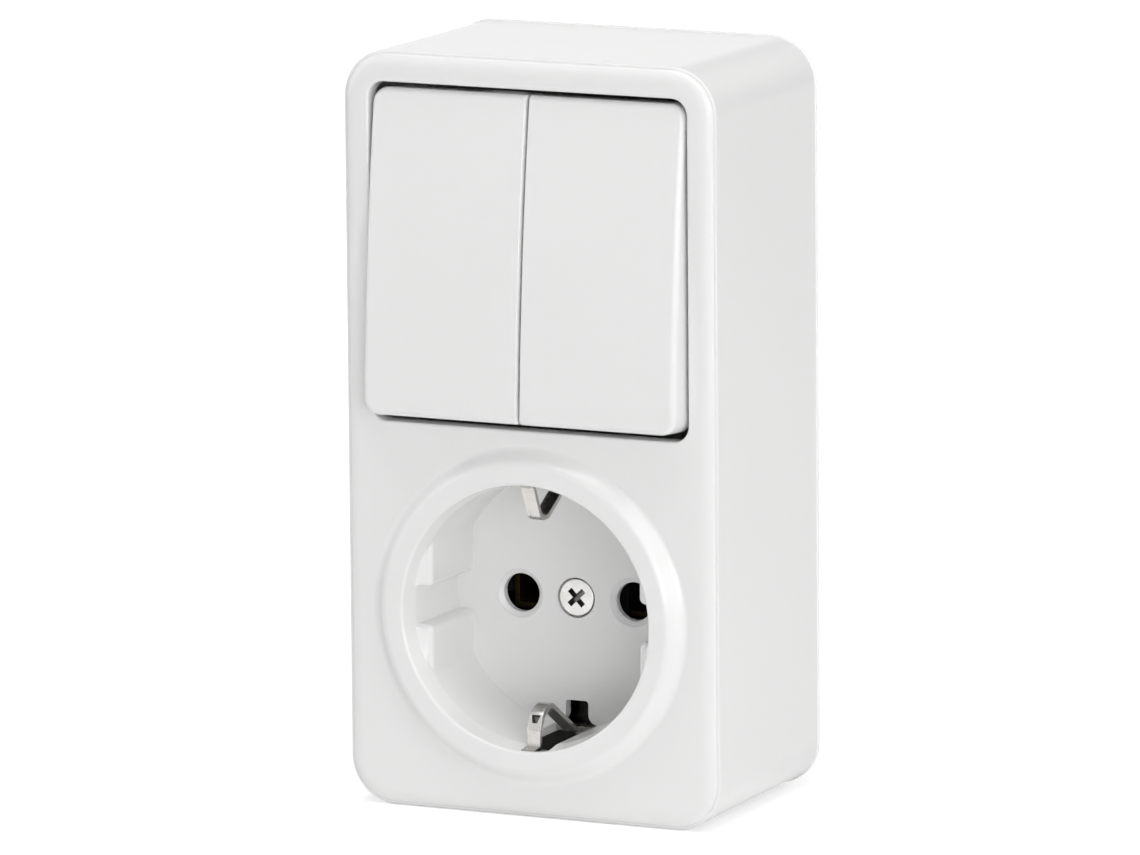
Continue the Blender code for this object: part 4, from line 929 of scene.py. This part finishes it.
def buildSpring(side):
    s = spring
    nodeName = side + "_spring"
    tilt = math.radians(rocker["tilt"])
    towardWall = Vector((0, math.cos(tilt), -math.sin(tilt)))
    seat = Vector(joints[side + "_rocker_hinge"]["pos_m"]) + towardWall * s["start"]
    start = polyline("springStart", [(0, 0, 0), (0, 0, s["wire"])])
    made = grow(camelCase(nodeName), coilSpring, start, {
        "Turns": s["turns"], "Coil Radius": s["radius"], "Wire Radius": s["wire"],
        "Length": s["end"] - s["start"], "Seat": seat, "Turn": (-towardFront - tilt, 0, 0),
        "Material": finishes[slotOf[nodeName]]})
    softShade(made, 60)
    finishPiece(made, nodeName, grown=True)


for side in ("left", "right"):
    buildPlunger(side)
    buildSpring(side)
print("plungers and springs made")


# Earth strap: a plate under the bowl, an arm to its screw and two folded clips

strap = {
    "front": 0.0185, "thickness": 0.0008, "plateWidth": 0.008, "plateReach": 0.019, "plateCorner": 0.0015,
    "armEnd": 0.0195, "armHeight": 0.0048, "terminalX": 0.0167, "terminalZ": 0.0164, "hole": 0.0018,
    "clipWidth": 0.0022, "rootWidth": 0.006, "soft": 0.0001, "plateSoft": 0.00012, "overlap": 0.001,
}
# each point: distance behind the front plane, distance from the bowl's middle, bend radius, in millimetres
rootPath = [(15.2, 20.15, 0.0), (20.3, 20.25, 0.5), (20.3, 18.0, 0.0)]
upperClipPath = [(-1.0, 20.9, 0.0), (-0.35, 20.2, 0.5), (1.95, 15.4, 0.6), (3.1, 14.85, 0.8),
                 (4.6, 14.85, 1.0), (14.0, 20.05, 0.8), *rootPath[1:]]
lowerClipPath = [(-1.2, 20.75, 0.0), (1.25, 20.45, 0.4), (1.25, 17.8, 0.25), (2.4, 15.35, 2.0),
                 (5.2, 14.4, 1.8), (14.2, 20.05, 0.8), *rootPath[1:]]
# the dent pressed into the lower clip's sloping run, wider at its upper end, its faces painted dark as
# painted shade
dent = {"back": 0.002, "reach": 0.01625, "top": 0.0014, "bottom": 0.0006, "length": 0.0012, "flare": 0.00015,
        "out": 0.0006, "in": 0.0001}


def sheetStripTree():
    tree = newTree("sheetStrip", {
        "Width": 0.002, "Thickness": 0.0008, "Edge Radius": 0.0001, "Bend Points": 10})
    given = tree.nodes["given"].outputs
    path = addNode(tree, "MeshToCurve", {"Mesh": given["Geometry"]})
    bend = addNode(tree, "InputNamedAttribute", {"Name": "bend"}, data_type="FLOAT")
    rounded = addNode(tree, "FilletCurve", {
        "Curve": path.outputs[0], "Count": given["Bend Points"], "Radius": bend.outputs["Attribute"],
        "Limit Radius": True}, mode="POLY")
    level = addNode(tree, "SetCurveNormal", {
        "Curve": rounded.outputs[0], "Normal": (1, 0, 0)}, mode="FREE")
    section = addNode(tree, "CurvePrimitiveQuadrilateral", {
        "Width": given["Width"], "Height": given["Thickness"]})
    softened = addNode(tree, "FilletCurve", {
        "Curve": section.outputs[0], "Count": 3, "Radius": given["Edge Radius"]}, mode="POLY")
    swept = addNode(tree, "CurveToMesh", {
        "Curve": level.outputs[0], "Profile Curve": softened.outputs[0], "Fill Caps": True})
    endTree(tree, swept.outputs[0])
    return tree


sheetStrip = sheetStripTree()


def buildClip(name, side, path, width):
    s = strap
    start = polyline(name, [place(0, cover["front"] - back / 1000, bowl["z"] + side * reach / 1000)
                            for back, reach, _ in path])
    radii = start.attributes.new("bend", "FLOAT", "POINT")
    radii.data.foreach_set("value", [bend / 1000 for _, _, bend in path])
    return grow(name, sheetStrip, start, {
        "Width": width, "Thickness": s["thickness"], "Edge Radius": s["soft"], "Material": nickelStrip})


def buildStrap():
    s = strap
    back = s["front"] - s["thickness"]
    plate = loft("earthStrap", [
        (roundedRect(s["plateWidth"], 2 * s["plateReach"], s["plateCorner"], bowl["z"], steps=6), forward)
        for forward in (back, s["front"])])
    armZ = bowl["z"] + s["terminalZ"]
    armLimits = (armZ - s["armHeight"] / 2, armZ + s["armHeight"] / 2)
    carve(plate, [boxBetween("earthArm", (0, s["armEnd"]), (back, s["front"]), armLimits)], "UNION")
    low, high = back - s["overlap"], s["front"] + s["overlap"]
    hole = [(0, low), (s["hole"], low), (s["hole"], high), (0, high)]
    carve(plate, [turned("earthHole", hole, x, z, 40) for x, z in ((0, bowl["z"]), (s["terminalX"], armZ))])
    softenEdges(plate, s["plateSoft"])
    plate.data.materials.clear()
    plate.data.materials.append(nickelStrip)
    lowerClip = buildClip("lowerClip", -1, lowerClipPath, s["clipWidth"])
    carve(lowerClip, [dentTool()])
    upperClip = buildClip("upperClip", 1, upperClipPath, s["clipWidth"])
    roots = [buildClip("clipRoot", side, rootPath, s["rootWidth"]) for side in (-1, 1)]
    carve(plate, [*roots, upperClip, lowerClip], "UNION")
    softShade(plate, 28)
    finishPiece(plate, "earth_strap", grown=True)


def dentTool():
    s = dent
    near, far = (Vector(point[:2]) for point in lowerClipPath[2:4])
    run = (far - near).normalized()  # up the sloping run, as (back, reach)
    outward = Vector((run.y, -run.x))
    middle = Vector((s["back"], s["reach"]))
    shape = bmesh.new()
    rows = []
    for depth, spread in ((s["out"], s["flare"]), (-s["in"], -s["flare"])):
        row = []
        for side, along in ((-1, 1), (1, 1), (1, -1), (-1, -1)):
            width = s["top"] if along > 0 else s["bottom"]
            spot = middle + run * along * (s["length"] / 2 + spread) + outward * depth
            corner = place(side * (width / 2 + spread), cover["front"] - spot.x, bowl["z"] - spot.y)
            row.append(shape.verts.new(corner))
        rows.append(row)
    made = closeRows("dent", shape, rows)
    # the dent's faces take the dark recess material, as painted shade
    made.data.materials.append(recessPaintedShade)
    return made


def softenEdges(obj, width, angle=40, segments=2):
    soft = obj.modifiers.new("soft", "BEVEL")
    soft.width = width
    soft.segments = segments
    soft.limit_method = "ANGLE"
    soft.angle_limit = math.radians(angle)
    soft.use_clamp_overlap = True
    return applyModifiers(obj)


buildStrap()
print("earth strap made")


# Inner pieces that keep the frame's own forms, with their edges softened as moulded or stamped

# the width of the softened edge, and the pieces that have it
softened = {
    0.0003: ["base_plate"], 0.0002: ["switch_body", "socket_insert", "left_toggle", "right_toggle"],
    0.0001: ["left_contact_blade", "right_contact_blade", "left_output_terminal", "right_output_terminal",
             "live_busbar", "left_pin_contact", "right_pin_contact"],
    0.00015: ["earth_nut"],
}


def buildSoftened(nodeName, width):
    source = nodes[nodeName]
    shape = bmesh.new()
    shape.from_mesh(source.data)
    bmesh.ops.transform(shape, matrix=source.matrix_world, verts=shape.verts)
    bmesh.ops.remove_doubles(shape, verts=shape.verts, dist=0.000001)
    bmesh.ops.dissolve_limit(shape, angle_limit=math.radians(1), verts=shape.verts, edges=shape.edges)
    made = newObject(camelCase(nodeName), meshFrom(shape, nodeName))
    softenEdges(made, width)
    softShade(made, 30)
    finishPiece(made, nodeName)


for width, members in softened.items():
    for nodeName in members:
        buildSoftened(nodeName, width)
for nodeName in ("left_pin_contact", "right_pin_contact"):
    bpy.data.objects[camelCase(nodeName)].data.materials[0] = nearBlackBrass
print("inner pieces made")


# Floor, world, lamps and camera

stage = {
    "half": 1.6, "below": 0.0001, "tone": 0.85, "roughness": 0.7, "near": 0.3, "far": 0.9, "nearGlow": 0.5,
    "fill": 0.039, "mirroredBack": 0.5, "dimStart": 0.2, "dimEnd": 0.6,
}


def buildStage():
    material = bpy.data.materials.new("paleFloor")
    material.use_nodes = True
    tree = material.node_tree
    path = addNode(tree, "ShaderNodeLightPath").outputs
    # half lit near the unit, so that its shadow shows, and plain white further off
    coords = addNode(tree, "ShaderNodeTexCoord").outputs["Object"]
    away = addNode(tree, "ShaderNodeVectorMath", {0: coords}, operation="LENGTH").outputs["Value"]
    glow = rampNode(tree, away, (stage["near"], stage["far"], stage["nearGlow"], 1.0))
    direct = mathNode(tree, "MULTIPLY", path["Is Camera Ray"], glow)
    seen = mathNode(tree, "MULTIPLY_ADD", path["Is Glossy Ray"], stage["nearGlow"], direct)
    feed(tree, tree.nodes["Principled BSDF"], {
        "Base Color": (stage["tone"], stage["tone"], stage["tone"], 1), "Roughness": stage["roughness"],
        "Emission Color": (1, 1, 1, 1), "Emission Strength": seen})
    shape = bmesh.new()
    bmesh.ops.create_grid(shape, x_segments=2, y_segments=2, size=stage["half"])
    bmesh.ops.translate(shape, vec=(0, 0, -cover["height"] / 2 - stage["below"]), verts=shape.verts)
    floor = newObject("studioFloor", meshFrom(shape, "studioFloor"))
    floor.data.materials.append(material)


def buildWorld():
    # white to the camera, white in reflections but dimmer behind the unit, and a faint fill for the rest
    world = bpy.data.worlds.new("studioWorld")
    bpy.context.scene.world = world
    world.use_nodes = True
    tree = world.node_tree
    path = addNode(tree, "ShaderNodeLightPath").outputs
    direct = mathNode(tree, "MAXIMUM", path["Is Camera Ray"], path["Is Transmission Ray"])
    coords = addNode(tree, "ShaderNodeTexCoord").outputs["Generated"]
    behind = addNode(tree, "ShaderNodeSeparateXYZ", {0: coords}).outputs["Y"]
    mirrored = rampNode(tree, behind, (stage["dimStart"], stage["dimEnd"], 1.0, stage["mirroredBack"]))
    glossy = mathNode(tree, "MULTIPLY", path["Is Glossy Ray"], mirrored)
    seen = mathNode(tree, "MAXIMUM", direct, glossy)
    strength = rampNode(tree, seen, (0.0, 1.0, stage["fill"], 1.0))
    feed(tree, tree.nodes["Background"], {"Color": (1, 1, 1, 1), "Strength": strength})


lamps = {
    "top": {"at": (0.05, -0.15, 1.1), "size": 0.8, "power": 7.9},
    "topBack": {"at": (0.05, 0.35, 1.1), "size": 0.8, "power": 0.3},
    "keyUpperRight": {"at": (0.75, -0.85, 0.75), "size": 0.7, "power": 3.1},
    "rightSide": {"at": (1.2, -0.25, 0.1), "size": 0.8, "power": 4.1},
    "rightLowFront": {"at": (0.8, -1.0, -0.02), "size": 0.7, "power": 7.1},
    "leftSide": {"at": (-1.1, -0.5, 0.3), "size": 0.9, "power": 4.4},
    "behind": {"at": (-0.35, 1.25, 0.05), "size": 0.9, "power": 1.4},
}


def buildLamps():
    target = Vector((0, -0.02, 0))
    for name, lamp in lamps.items():
        light = bpy.data.lights.new(name, "AREA")
        light.size = lamp["size"]
        light.energy = lamp["power"]
        made = newObject(name, light)
        made.location = lamp["at"]
        made.rotation_euler = (target - Vector(lamp["at"])).to_track_quat("-Z", "Y").to_euler()


camera = {
    "azimuth": 25.254, "elevation": 10.24, "roll": -0.469, "at": (0.66616, -1.43591, 0.28174), "lens": 329.28,
    "sensor": 36, "clipEnd": 20,
}


def buildCamera():
    azimuth, elevation, roll = (math.radians(camera[k]) for k in ("azimuth", "elevation", "roll"))
    level = math.cos(elevation)
    back = Vector((math.sin(azimuth) * level, -math.cos(azimuth) * level, math.sin(elevation)))
    right = Vector((math.cos(azimuth), math.sin(azimuth), 0))
    up = back.cross(right)
    rolledRight = right * math.cos(roll) + up * math.sin(roll)
    rolledUp = up * math.cos(roll) - right * math.sin(roll)
    lens = bpy.data.cameras.new("photoCamera")
    lens.lens = camera["lens"]
    lens.sensor_width = camera["sensor"]
    lens.clip_end = camera["clipEnd"]
    made = newObject("photoCamera", lens)
    turn = Matrix((rolledRight, rolledUp, back)).transposed().to_4x4()
    made.matrix_world = Matrix.Translation(camera["at"]) @ turn
    bpy.context.scene.camera = made


buildStage()
buildWorld()
buildLamps()
buildCamera()
bpy.context.scene.view_settings.view_transform = "Standard"
print("stage, lamps and camera set")
